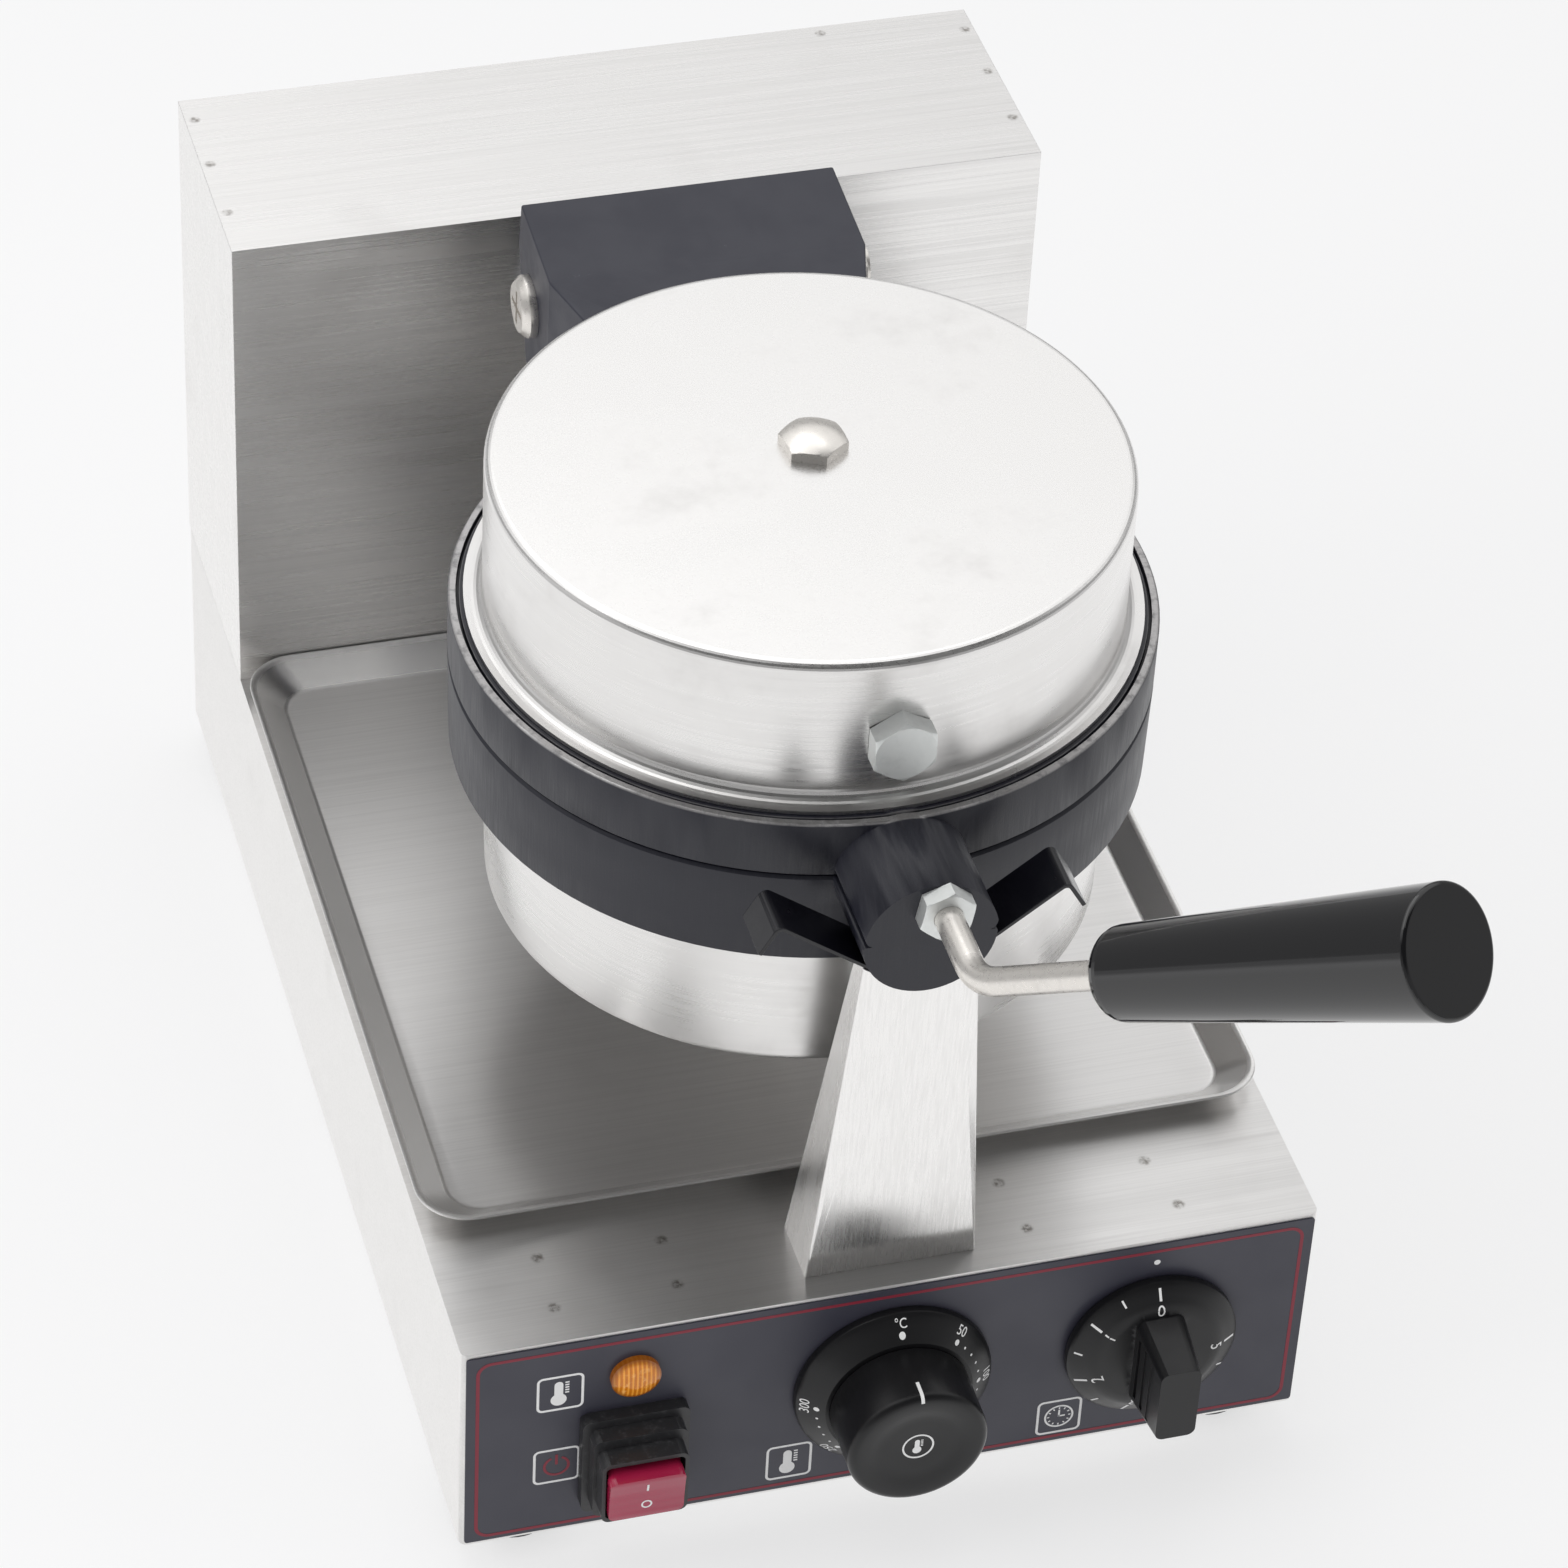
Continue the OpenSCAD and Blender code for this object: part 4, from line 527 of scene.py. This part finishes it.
MATERIAL_OF = {
    "deck": ["base_shell"],
    "housing": ["housing_shell"],
    "sheet": ["base_back", "rear_cover", "bottom_plate"],
    "stand": ["stand"],
    "tray": ["drip_tray"],
    "cover": ["upper_cover", "lower_cover"],
    "casting": ["upper_casting", "lower_casting"],
    "hinge": ["hinge_arm", "hinge_yoke"],
    "zinc": [
        "bottom_screws", "foot_screws", "housing_screws", "rear_cover_screws", "block_screws",
        "bearing_bolts", "stand_screws", "arm_bolts", "yoke_bolts", "upper_side_bolt",
        "lower_side_bolt", "lock_nut", "upper_clamp", "lower_clamp", "upper_stud", "lower_stud",
        "turn_stop", "thermostat_shaft", "timer_shaft",
    ],
    "polished": ["upper_cover_nut", "lower_cover_nut", "handle_rod", "pivot_shaft", "hinge_pin"],
    "iron": ["pivot_bearing", "shaft_collar"],
    "bronze": ["thrust_washer"],
    "tube": ["upper_element", "lower_element"],
    "foot": ["feet"],
    "boot": ["switch_boot"],
    "film": ["panel_overlay"],
    "enamel": ["saddle"],
    "black": [
        "scale_ring", "switch_body", "thermostat_knob", "timer_knob", "cable_gland", "gland_nut",
    ],
    "grip": ["grip"],
    "case": ["thermostat_body", "timer_body", "lamp_body"],
    "white": ["terminal_block"],
    "amber": ["lamp_lens"],
    "red": ["rocker"],
}
# Rounding of each node's edges, in millimetres
EDGES = {
    "base_shell": 0.7, "housing_shell": 0.7, "stand": 0.5, "saddle": 0.25, "upper_casting": 0.6,
    "lower_casting": 0.6, "hinge_arm": 1.2, "hinge_yoke": 1.0, "switch_boot": 0.8, "rocker": 0.6,
    "timer_knob": 0.7, "thermostat_knob": 0.3, "scale_ring": 0.3, "upper_cover_nut": 0.3,
    "lower_cover_nut": 0.3, "upper_side_bolt": 0.25, "lower_side_bolt": 0.25, "lock_nut": 0.25,
    "hinge_pin": 0.2, "cable_gland": 0.4, "feet": 0.6, "pivot_bearing": 0.5, "shaft_collar": 0.5,
    "bearing_bolts": 0.2, "yoke_bolts": 0.2, "arm_bolts": 0.2, "rear_cover": 0.15,
    "panel_overlay": 0.1,
}
EDGE_ANGLE = math.radians(38)  # gentler edges stay as they are
EDGE_SEGMENTS = 2
WELD_REACH = 0.005  # vertices this close are joined first, in millimetres


def dress_nodes(materials):
    for key, names in MATERIAL_OF.items():
        for name in names:
            node = NODES[name]
            node.data.materials.clear()
            node.data.materials.append(materials[key])
    for name, width in EDGES.items():
        node = NODES[name]
        weld = node.modifiers.new("weld", "WELD")
        weld.merge_threshold = WELD_REACH * MM
        bevel = node.modifiers.new("edges", "BEVEL")
        bevel.width = width * MM
        bevel.segments = EDGE_SEGMENTS
        bevel.limit_method = "ANGLE"
        bevel.angle_limit = EDGE_ANGLE
        bevel.harden_normals = True


# ---- Pieces ----
SMOOTH_ANGLE = math.radians(35)


def new_piece(name, bm, material, body):
    """Turns a bmesh into a piece that rides on a body, and frees the bmesh."""
    mesh = bpy.data.meshes.new(name)
    bm.to_mesh(mesh)
    bm.free()
    mesh.materials.append(material)
    piece = bpy.data.objects.new(name, mesh)
    bpy.context.scene.collection.objects.link(piece)
    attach(piece, body)
    return piece


def circle(x, y, radius, count):
    """Points round a circle, counter-clockwise."""
    turns = [2 * math.pi / count * i for i in range(count)]
    return [(x + radius * math.cos(a), y + radius * math.sin(a)) for a in turns]


def rounded_loop(low, high, radius, steps):
    """Points of a rectangle with round corners, counter-clockwise."""
    corners = [
        (high[0], high[1], 0), (low[0], high[1], 90), (low[0], low[1], 180), (high[0], low[1], 270),
    ]
    points = []
    for x, y, start in corners:
        cx = x - math.copysign(radius, x - (low[0] + high[0]) / 2)
        cy = y - math.copysign(radius, y - (low[1] + high[1]) / 2)
        for i in range(steps + 1):
            a = math.radians(start + 90 * i / steps)
            points.append((cx + radius * math.cos(a), cy + radius * math.sin(a)))
    return points


def loft(name, loops, material, body):
    """A skin over a list of point loops of equal length, closed at both ends."""
    count = len(loops[0])
    bm = bmesh.new()
    rows = [[bm.verts.new(point) for point in loop] for loop in loops]
    for row, after in zip(rows, rows[1:]):
        for j in range(count):
            k = (j + 1) % count
            bm.faces.new((row[j], row[k], after[k], after[j]))
    bm.faces.new(rows[0][::-1])
    bm.faces.new(rows[-1])
    bmesh.ops.recalc_face_normals(bm, faces=bm.faces)
    piece = new_piece(name, bm, material, body)
    piece.data.shade_smooth()
    piece.data.set_sharp_from_angle(angle=SMOOTH_ANGLE)
    return piece


TRAY_CORNER = 15.0
TRAY_CORNER_STEPS = 10
# Section of the tray from the middle of its floor over the rim to its underside: inset from the
# outline and height, in millimetres
TRAY_SECTION = [
    (14.0, 1.0), (11.0, 1.0), (10.2, 1.08), (9.5, 1.45), (2.0, 7.2), (1.3, 7.65), (0.7, 7.9),
    (0.25, 7.95), (0.03, 7.7), (0.0, 7.3), (0.15, 6.95), (0.6, 6.75), (1.4, 6.3), (9.2, 0.45),
    (10.3, 0.02), (14.0, 0.0),
]


def make_tray(materials):
    """The pressed tray with its rolled rim; its corners tighten towards the floor."""
    low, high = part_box("drip_tray")
    loops = []
    for inset, height in TRAY_SECTION:
        a = (low.x + inset * MM, low.y + inset * MM)
        b = (high.x - inset * MM, high.y - inset * MM)
        loop = rounded_loop(a, b, (TRAY_CORNER - 0.5 * inset) * MM, TRAY_CORNER_STEPS)
        loops.append([(x, y, low.z + height * MM) for x, y in loop])
    tray = loft("tray_pressing", loops, materials["tray"], "tray")
    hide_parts("drip_tray")


LENS_RINGS = 14
LENS_SIDES = 72
LENS_RIBBED = 0.86  # share of the radius that carries ribs
LENS_DOME = 0.45  # share of the depth that the dome falls by
LENS_DOME_POWER = 2.4
# Height of a rib, drop of the rim and radius of the middle point, in millimetres
LENS_RIB = 0.22
LENS_RIM = 0.18
LENS_TIP = 0.02


def make_lens(materials):
    """A low dome with upright ribs on its face and a plain rim."""
    low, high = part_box("lamp_lens")
    mid = centre("lamp_lens")
    width, depth = high.x - low.x, high.y - low.y
    radius = width / 2
    loops = [[(x, high.y, z) for x, z in circle(mid.x, mid.z, radius, LENS_SIDES)]]
    for i in range(LENS_RINGS + 1):
        share = 1 - i / LENS_RINGS
        crown = min(depth * (1 - LENS_DOME * share ** LENS_DOME_POWER), depth - LENS_RIM * MM)
        loop = []
        for x, z in circle(0, 0, max(radius * share, LENS_TIP * MM), LENS_SIDES):
            rib = 0.0
            if share < LENS_RIBBED:
                phase = 2 * math.pi * (x / width + 0.5) * LENS_RIBS
                rib = LENS_RIB * MM * (1 - math.cos(phase)) / 2
            loop.append((mid.x + x, high.y - crown - rib, mid.z + z))
        loops.append(loop)
    lens = loft("ribbed_lens", loops, materials["amber"], "base")
    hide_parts("lamp_lens")


# ---- Prints ----
CAST_FROM = 0.05  # metres in front of the surface that a print is laid on
# Thickness and lift of the ink, and the distance at which points are one, in millimetres
INK_THICKNESS = 0.05
INK_LIFT = 0.01
SAME_POINT = 0.0005
TEXT_SCALE = 1.4  # size of the built-in font over the height of its numbers
# Longest edges in millimetres that need no halving, on the flat panel and on moulded pieces
PANEL_STEP = 60.0
DIAL_STEP = 1.0
KNOB_STEP = 0.8
HALVINGS = 3


def surface_tree(name):
    mesh = NODES[name].data
    faces = [tuple(p.vertices) for p in mesh.polygons]
    return BVHTree.FromPolygons([v.co for v in mesh.vertices], faces)


def triangulate_large(bm):
    bmesh.ops.triangulate(bm, faces=[f for f in bm.faces if len(f.verts) > 4])


class Print:
    """Flat shapes drawn on an X-Z plane in millimetres, and then laid on a node's surface."""

    def __init__(self):
        self.vertices = []
        self.faces = []

    def poly(self, points):
        start = len(self.vertices)
        self.vertices += points
        self.faces.append(tuple(range(start, start + len(points))))

    def bar(self, a, b, width):
        along = Vector((b[0] - a[0], b[1] - a[1])).normalized() * width / 2
        side = (-along.y, along.x)
        self.poly([
            (a[0] + side[0], a[1] + side[1]), (a[0] - side[0], a[1] - side[1]),
            (b[0] - side[0], b[1] - side[1]), (b[0] + side[0], b[1] + side[1]),
        ])

    def disc(self, x, z, radius, steps=20):
        self.poly(circle(x, z, radius, steps))

    def stroke(self, points, width, closed=False):
        """A line of one width along points, mitred at its corners."""
        count = len(points)
        left, right = [], []
        for i, point in enumerate(points):
            here = Vector(point)
            before = Vector(points[i - 1]) if closed or i else here
            after = Vector(points[(i + 1) % count]) if closed or i < count - 1 else here
            along = (after - here).normalized() + (here - before).normalized()
            along.normalize()
            side = Vector((-along.y, along.x)) * width / 2
            left.append(tuple(here + side))
            right.append(tuple(here - side))
        for i in range(count if closed else count - 1):
            j = (i + 1) % count
            self.poly([left[i], right[i], right[j], left[j]])

    def arc(self, x, z, radius, start, end, width, steps=24):
        turns = [math.radians(start + (end - start) * i / steps) for i in range(steps + 1)]
        self.stroke([(x + radius * math.cos(a), z + radius * math.sin(a)) for a in turns], width)

    def ring(self, x, z, radius, width, steps=40):
        self.stroke(circle(x, z, radius, steps), width, closed=True)

    def frame(self, low, high, radius, width):
        self.stroke(rounded_loop(low, high, radius, 6), width, closed=True)

    def words(self, text, x, z, height, angle=0.0):
        """A number or sign, centred, turned by an angle in degrees."""
        data = bpy.data.curves.new("words", "FONT")
        data.body = text
        data.align_x = "CENTER"
        data.align_y = "CENTER"
        data.size = height * TEXT_SCALE
        data.resolution_u = 4
        holder = bpy.data.objects.new("words", data)
        bpy.context.scene.collection.objects.link(holder)
        mesh = holder.to_mesh()
        c, s = math.cos(math.radians(angle)), math.sin(math.radians(angle))
        start = len(self.vertices)
        self.vertices += [
            (x + v.co.x * c - v.co.y * s, z + v.co.x * s + v.co.y * c) for v in mesh.vertices
        ]
        self.faces += [tuple(start + i for i in p.vertices) for p in mesh.polygons]
        holder.to_mesh_clear()
        bpy.data.objects.remove(holder)

    def lay(self, name, on, body, paint, step, down=False):
        """Casts the shapes onto a node along +Y and gives them a thickness. Shapes that were drawn
        in X and Y are cast down. The paint is a material and the name of a slot, which is not used.
        Edges longer than the step are halved a few times, so that the print follows a curved
        surface."""
        if down:
            way, level = Vector((0, 0, -1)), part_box(on)[1].z + CAST_FROM
            places = [(x * MM, y * MM, level) for x, y in self.vertices]
        else:
            way, level = Vector((0, 1, 0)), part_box(on)[0].y - CAST_FROM
            places = [(x * MM, level, z * MM) for x, z in self.vertices]
        bm = bmesh.new()
        corners = [bm.verts.new(place) for place in places]
        for face in self.faces:
            bm.faces.new([corners[i] for i in face])
        bmesh.ops.remove_doubles(bm, verts=bm.verts, dist=SAME_POINT * MM)
        triangulate_large(bm)
        for _ in range(HALVINGS):
            long_edges = [e for e in bm.edges if e.calc_length() > step * MM]
            if long_edges:
                bmesh.ops.subdivide_edges(bm, edges=long_edges, cuts=1)
                triangulate_large(bm)
        tree = surface_tree(on)
        for vertex in bm.verts:
            hit = tree.ray_cast(vertex.co, way)[0]
            vertex.co = (hit or vertex.co + way * CAST_FROM) - way * INK_LIFT * MM
        bmesh.ops.recalc_face_normals(bm, faces=bm.faces)
        for face in bm.faces:
            if face.normal.dot(way) > 0:
                face.normal_flip()
        piece = new_piece(name, bm, paint[0], body)
        solid = piece.modifiers.new("thickness", "SOLIDIFY")
        solid.thickness = INK_THICKNESS * MM
        solid.offset = 1


def around(x, z, radius, clockwise):
    """A point on a circle, by its angle in degrees clockwise from the top."""
    a = math.radians(90 - clockwise)
    return x + radius * math.cos(a), z + radius * math.sin(a)


def thermometer(page, x, z, size):
    """A bulb and a stem with a round top in one outline, and a column of scale ticks."""
    bulb, stem = 0.20 * size, 0.11 * size
    foot, top = z - 0.22 * size, z + 0.28 * size
    x -= 0.04 * size
    join = math.degrees(math.asin(stem / bulb))
    outline = [
        (x + bulb * math.sin(math.radians(a)), foot + bulb * math.cos(math.radians(a)))
        for a in (join + (360 - 2 * join) * i / 24 for i in range(25))
    ]
    outline += [
        (x + stem * math.cos(math.radians(a)), top + stem * math.sin(math.radians(a)))
        for a in (180 - 30 * i for i in range(7))
    ]
    page.poly(outline)
    for i in range(5):
        level = top + (0.06 - 0.085 * i) * size
        start = x + stem + 0.05 * size
        page.bar((start, level), (start + 0.10 * size, level), 0.045 * size)


def clock(page, x, z, size):
    """A dial with twelve ticks and two hands."""
    page.ring(x, z, 0.36 * size, 0.05 * size)
    for hour in range(12):
        inner = around(x, z, 0.25 * size, 30 * hour)
        outer = around(x, z, 0.31 * size, 30 * hour)
        page.bar(inner, outer, 0.035 * size)
    page.bar((x, z - 0.02 * size), (x, z + 0.22 * size), 0.05 * size)
    page.bar((x - 0.02 * size, z), (x + 0.16 * size, z), 0.05 * size)


# Places on the panel in millimetres: X from the middle, Z from the deck
PANEL_EDGE = 120.5
PANEL_HIGH = -4.0
PANEL_LOW = -73.0
PANEL_CORNER = 4.0
PANEL_LINE = 1.05
ICON_LAMP = (-96.9, -20.0)
ICON_POWER = (-97.5, -49.0)
ICON_THERMO = (-29.0, -64.0)
ICON_TIMER = (52.0, -65.0)
ICON_FRAME = 12.8
ICON_CORNER = 1.5
ICON_LINE = 0.75
ICON_SIZE = 11.5
POWER_RADIUS = 3.5
POWER_ARC = (116, 424)  # the arc's start and end in degrees, counter-clockwise from +X
POWER_BAR = (0.4, 4.3)
POWER_DROP = 0.2
POWER_LINE = 0.8
TIMER_DOT = (77.0, -8.3)
TIMER_DOT_RADIUS = 0.95


def draw_panel(white, red):
    """The red line and power sign, and then the white signs, their frames and the timer's dot."""
    deck = DECK_Z / MM
    page = Print()
    page.frame(
        (-PANEL_EDGE, deck + PANEL_LOW), (PANEL_EDGE, deck + PANEL_HIGH), PANEL_CORNER, PANEL_LINE,
    )
    x, z = ICON_POWER[0], deck + ICON_POWER[1]
    page.arc(x, z - POWER_DROP, POWER_RADIUS, *POWER_ARC, POWER_LINE)
    page.bar((x, z + POWER_BAR[0]), (x, z + POWER_BAR[1]), POWER_LINE)
    page.lay("panel_print_red", "panel_overlay", "base", red, PANEL_STEP)
    page = Print()
    half = ICON_FRAME / 2
    for x, z in (ICON_LAMP, ICON_POWER, ICON_THERMO, ICON_TIMER):
        low, high = (x - half, deck + z - half), (x + half, deck + z + half)
        page.frame(low, high, ICON_CORNER, ICON_LINE)
    thermometer(page, ICON_LAMP[0], deck + ICON_LAMP[1], ICON_SIZE)
    thermometer(page, ICON_THERMO[0], deck + ICON_THERMO[1], ICON_SIZE)
    clock(page, ICON_TIMER[0], deck + ICON_TIMER[1], ICON_SIZE)
    page.disc(TIMER_DOT[0], deck + TIMER_DOT[1], TIMER_DOT_RADIUS)
    page.lay("panel_print_white", "panel_overlay", "base", white, PANEL_STEP)


# Thermostat: the turn of one degree Celsius and the turn that the scale is set back by, both in
# degrees, and radii from the knob's axis and sizes in millimetres
TURN_PER_C = 0.906
TURN_BACK = 1.8
SCALE_DOTS = 23.9
SCALE_SIGN = 26.6
SCALE_NUMBERS = 26.7
SIGN_HEIGHT = 2.4
NUMBER_HEIGHT = 2.5
SIGN_DOT = 0.95
WHOLE_DOT = 0.75
TENTH_DOT = 0.34
POINTER = (18.4, 20.35)
POINTER_WIDTH = 1.0
WALL_MARK = (0.7, 6.4)  # from the knob's face, along its wall
BADGE_RADIUS = 4.4
BADGE_LINE = 0.55
BADGE_SIGN = 6.6


def draw_thermostat(white):
    """The scale round the knob, the knob's badge and pointer, and the pointer's end on its wall."""
    x, _, z = centre_mm("thermostat_knob")
    page = Print()
    page.disc(*around(x, z, SCALE_DOTS, 0), SIGN_DOT)
    page.words("°C", *around(x, z, SCALE_SIGN, 0), SIGN_HEIGHT)
    for degrees in range(50, 301, 10):
        turn = degrees * TURN_PER_C - TURN_BACK
        whole = degrees % 50 == 0
        page.disc(*around(x, z, SCALE_DOTS, turn), WHOLE_DOT if whole else TENTH_DOT, 12)
        if whole:
            page.words(str(degrees), *around(x, z, SCALE_NUMBERS, turn), NUMBER_HEIGHT, -turn)
    page.lay("thermostat_scale", "scale_ring", "base", white, DIAL_STEP)
    page = Print()
    page.bar((x, z + POINTER[0]), (x, z + POINTER[1]), POINTER_WIDTH)
    page.ring(x, z, BADGE_RADIUS, BADGE_LINE)
    thermometer(page, x, z, BADGE_SIGN)
    page.lay("thermostat_pointer", "thermostat_knob", "thermostat", white, KNOB_STEP)
    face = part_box("thermostat_knob")[0].y / MM
    page = Print()
    page.bar((x, face + WALL_MARK[0]), (x, face + WALL_MARK[1]), POINTER_WIDTH)
    page.lay("thermostat_mark", "thermostat_knob", "thermostat", white, KNOB_STEP, down=True)


# Timer: the turn of one minute in degrees, and radii from the dial's axis and sizes in millimetres
TIMER_MINUTES = 5
TURN_PER_MINUTE = 54.0
TICK_OUTER = 24.3
TICK_WHOLE = 20.9
TICK_HALF = 22.1
TICK_WIDTH_WHOLE = 0.75
TICK_WIDTH_HALF = 0.6
DIAL_NUMBERS = 17.9
DIAL_NUMBER_HEIGHT = 3.6


def draw_timer(white):
    """Ticks for each half minute and numbers for each whole one, counter-clockwise on the dial."""
    x, _, z = centre_mm("timer_knob")
    page = Print()
    for halves in range(2 * TIMER_MINUTES + 1):
        turn = -TURN_PER_MINUTE / 2 * halves
        minutes, odd = divmod(halves, 2)
        inner = around(x, z, TICK_HALF if odd else TICK_WHOLE, turn)
        outer = around(x, z, TICK_OUTER, turn)
        page.bar(inner, outer, TICK_WIDTH_HALF if odd else TICK_WIDTH_WHOLE)
        if not odd:
            place = around(x, z, DIAL_NUMBERS, turn)
            page.words(str(minutes), *place, DIAL_NUMBER_HEIGHT, -turn)
    page.lay("timer_scale", "timer_knob", "timer", white, DIAL_STEP)


# Rocker: heights from its middle and sizes in millimetres
ON_BAR = (2.4, 5.2)
ON_WIDTH = 0.6
OFF_RING = -3.6
OFF_RADIUS = 1.35
OFF_LINE = 0.5


def draw_rocker(white):
    """The on and off signs: a bar above a ring."""
    x, _, z = centre_mm("rocker")
    page = Print()
    page.bar((x, z + ON_BAR[0]), (x, z + ON_BAR[1]), ON_WIDTH)
    page.ring(x, z + OFF_RING, OFF_RADIUS, OFF_LINE)
    page.lay("rocker_marks", "rocker", "power_rocker", white, DIAL_STEP)


# ---- Stage ----
FLOOR_SIDE = 8.0
FLOOR_COLOR = (0.86, 0.86, 0.87)
# Share of plain white that the camera sees over the lit floor, which keeps its shadow
FLOOR_WHITE = 0.6
# Reflections see a white floor up to the first distance and the lit floor from the second, in
# metres from the object's middle
TABLE_REACH = (0.7, 1.4)


def make_floor():
    half = FLOOR_SIDE / 2
    mesh = bpy.data.meshes.new("floor")
    corners = [(-half, -half, 0), (half, -half, 0), (half, half, 0), (-half, half, 0)]
    mesh.from_pydata(corners, [], [(0, 1, 2, 3)])
    floor = bpy.data.objects.new("floor", mesh)
    bpy.context.scene.collection.objects.link(floor)
    shader = Shader("pale_floor", FLOOR_COLOR, roughness=0.8, Specular_IOR_Level=0.1)
    material = shader.done()
    material.cycles.emission_sampling = "NONE"
    mesh.materials.append(material)
    path = shader.nodes.new("ShaderNodeLightPath").outputs
    away = shader.distance(shader.position, (0, 0, 0))
    near = shader.ramp(away, TABLE_REACH, (1.0, 0.0), kind="LINEAR")
    shown = shader.math("MAXIMUM", path["Is Camera Ray"], path["Is Transmission Ray"])
    mirrored = shader.math("MULTIPLY", path["Is Glossy Ray"], near)
    share = shader.math("MAXIMUM", shader.math("MULTIPLY", shown, FLOOR_WHITE), mirrored)
    white = shader.nodes.new("ShaderNodeEmission")
    white.inputs["Color"].default_value = WHITE
    mix = shader.nodes.new("ShaderNodeMixShader")
    lit = shader.nodes["Principled BSDF"].outputs[0]
    for socket, value in zip(mix.inputs, (share, lit, white.outputs[0])):
        shader.links.new(value, socket)
    shader.links.new(mix.outputs[0], shader.nodes["Material Output"].inputs["Surface"])


# Strengths of the studio's white that reflections see. It is full high up behind the object, and
# dimmer at the horizon, above the camera and straight overhead. Each fade is a span of the
# direction's Y or Z.
HORIZON_GLOW = 0.36
FRONT_GLOW = 0.08
ZENITH_GLOW = 0.38
BACK_FADE = (-0.30, 0.10)
HIGH_FADE = (0.20, 0.48)
HORIZON_FADE = (0.25, 0.55)
ZENITH_FADE = (0.91, 0.985)
# Strength that lights dull surfaces, and how much of the studio's pattern is added to it
WORLD_FILL = 0.58
STUDIO_SHARE = 0.25


def make_world():
    world = bpy.data.worlds.new("studio")
    world.use_nodes = True
    world.cycles.sampling_method = "NONE"  # so that each kind of ray finds its own strength
    bpy.context.scene.world = world
    graph = Graph(world.node_tree)
    _, y, z = graph.split(graph.coordinate("Generated"))
    back = graph.ramp(y, BACK_FADE)
    high = graph.ramp(z, HIGH_FADE)
    zenith = graph.ramp(z, ZENITH_FADE, (1.0, ZENITH_GLOW))
    horizon = graph.ramp(z, HORIZON_FADE, (HORIZON_GLOW, FRONT_GLOW))
    above = graph.math("MULTIPLY", graph.math("MULTIPLY", back, high), zenith)
    studio = graph.math("MAXIMUM", above, horizon)
    path = graph.nodes.new("ShaderNodeLightPath").outputs
    glossy = path["Is Glossy Ray"]
    fill = graph.math("ADD", WORLD_FILL, graph.math("MULTIPLY", studio, STUDIO_SHARE))
    lit = graph.math(
        "ADD",
        graph.math("MULTIPLY", glossy, studio),
        graph.math("MULTIPLY", graph.math("SUBTRACT", 1.0, glossy), fill),
    )
    shown = graph.math("MAXIMUM", path["Is Camera Ray"], path["Is Transmission Ray"])
    background = graph.nodes["Background"].inputs
    background["Color"].default_value = WHITE
    graph.links.new(graph.math("MAXIMUM", lit, shown), background["Strength"])


# Softboxes: name, place, width and height in metres, power in watts, and if reflections see it
SOFTBOXES = [
    ("softbox_top", (-0.20, 0.30, 1.5), 1.5, 1.2, 5.0, True),
    ("softbox_left", (-1.5, -0.2, 0.9), 0.9, 0.9, 8.0, False),
    ("softbox_right", (1.4, -0.5, 1.0), 0.8, 0.8, 2.0, False),
]
SOFTBOX_AIM = Vector((0, 0.05, 0.15))


def make_lights():
    for name, place, width, height, power, mirrored in SOFTBOXES:
        data = bpy.data.lights.new(name, "AREA")
        data.shape = "RECTANGLE"
        data.size = width
        data.size_y = height
        data.energy = power
        light = bpy.data.objects.new(name, data)
        bpy.context.scene.collection.objects.link(light)
        light.location = place
        aim = SOFTBOX_AIM - light.location
        light.rotation_euler = aim.to_track_quat("-Z", "Y").to_euler()
        light.visible_glossy = mirrored


def main():
    make_camera()
    materials = make_materials()
    dress_nodes(materials)
    make_tray(materials)
    make_lens(materials)
    white = (materials["white_ink"], "white_plastic")
    red = (materials["red_ink"], "red_rocker")
    draw_panel(white, red)
    draw_thermostat(white)
    draw_timer(white)
    draw_rocker(white)
    make_floor()
    make_world()
    make_lights()
    bpy.context.scene.view_settings.view_transform = "Standard"


main()
bpy.context.view_layer.update()
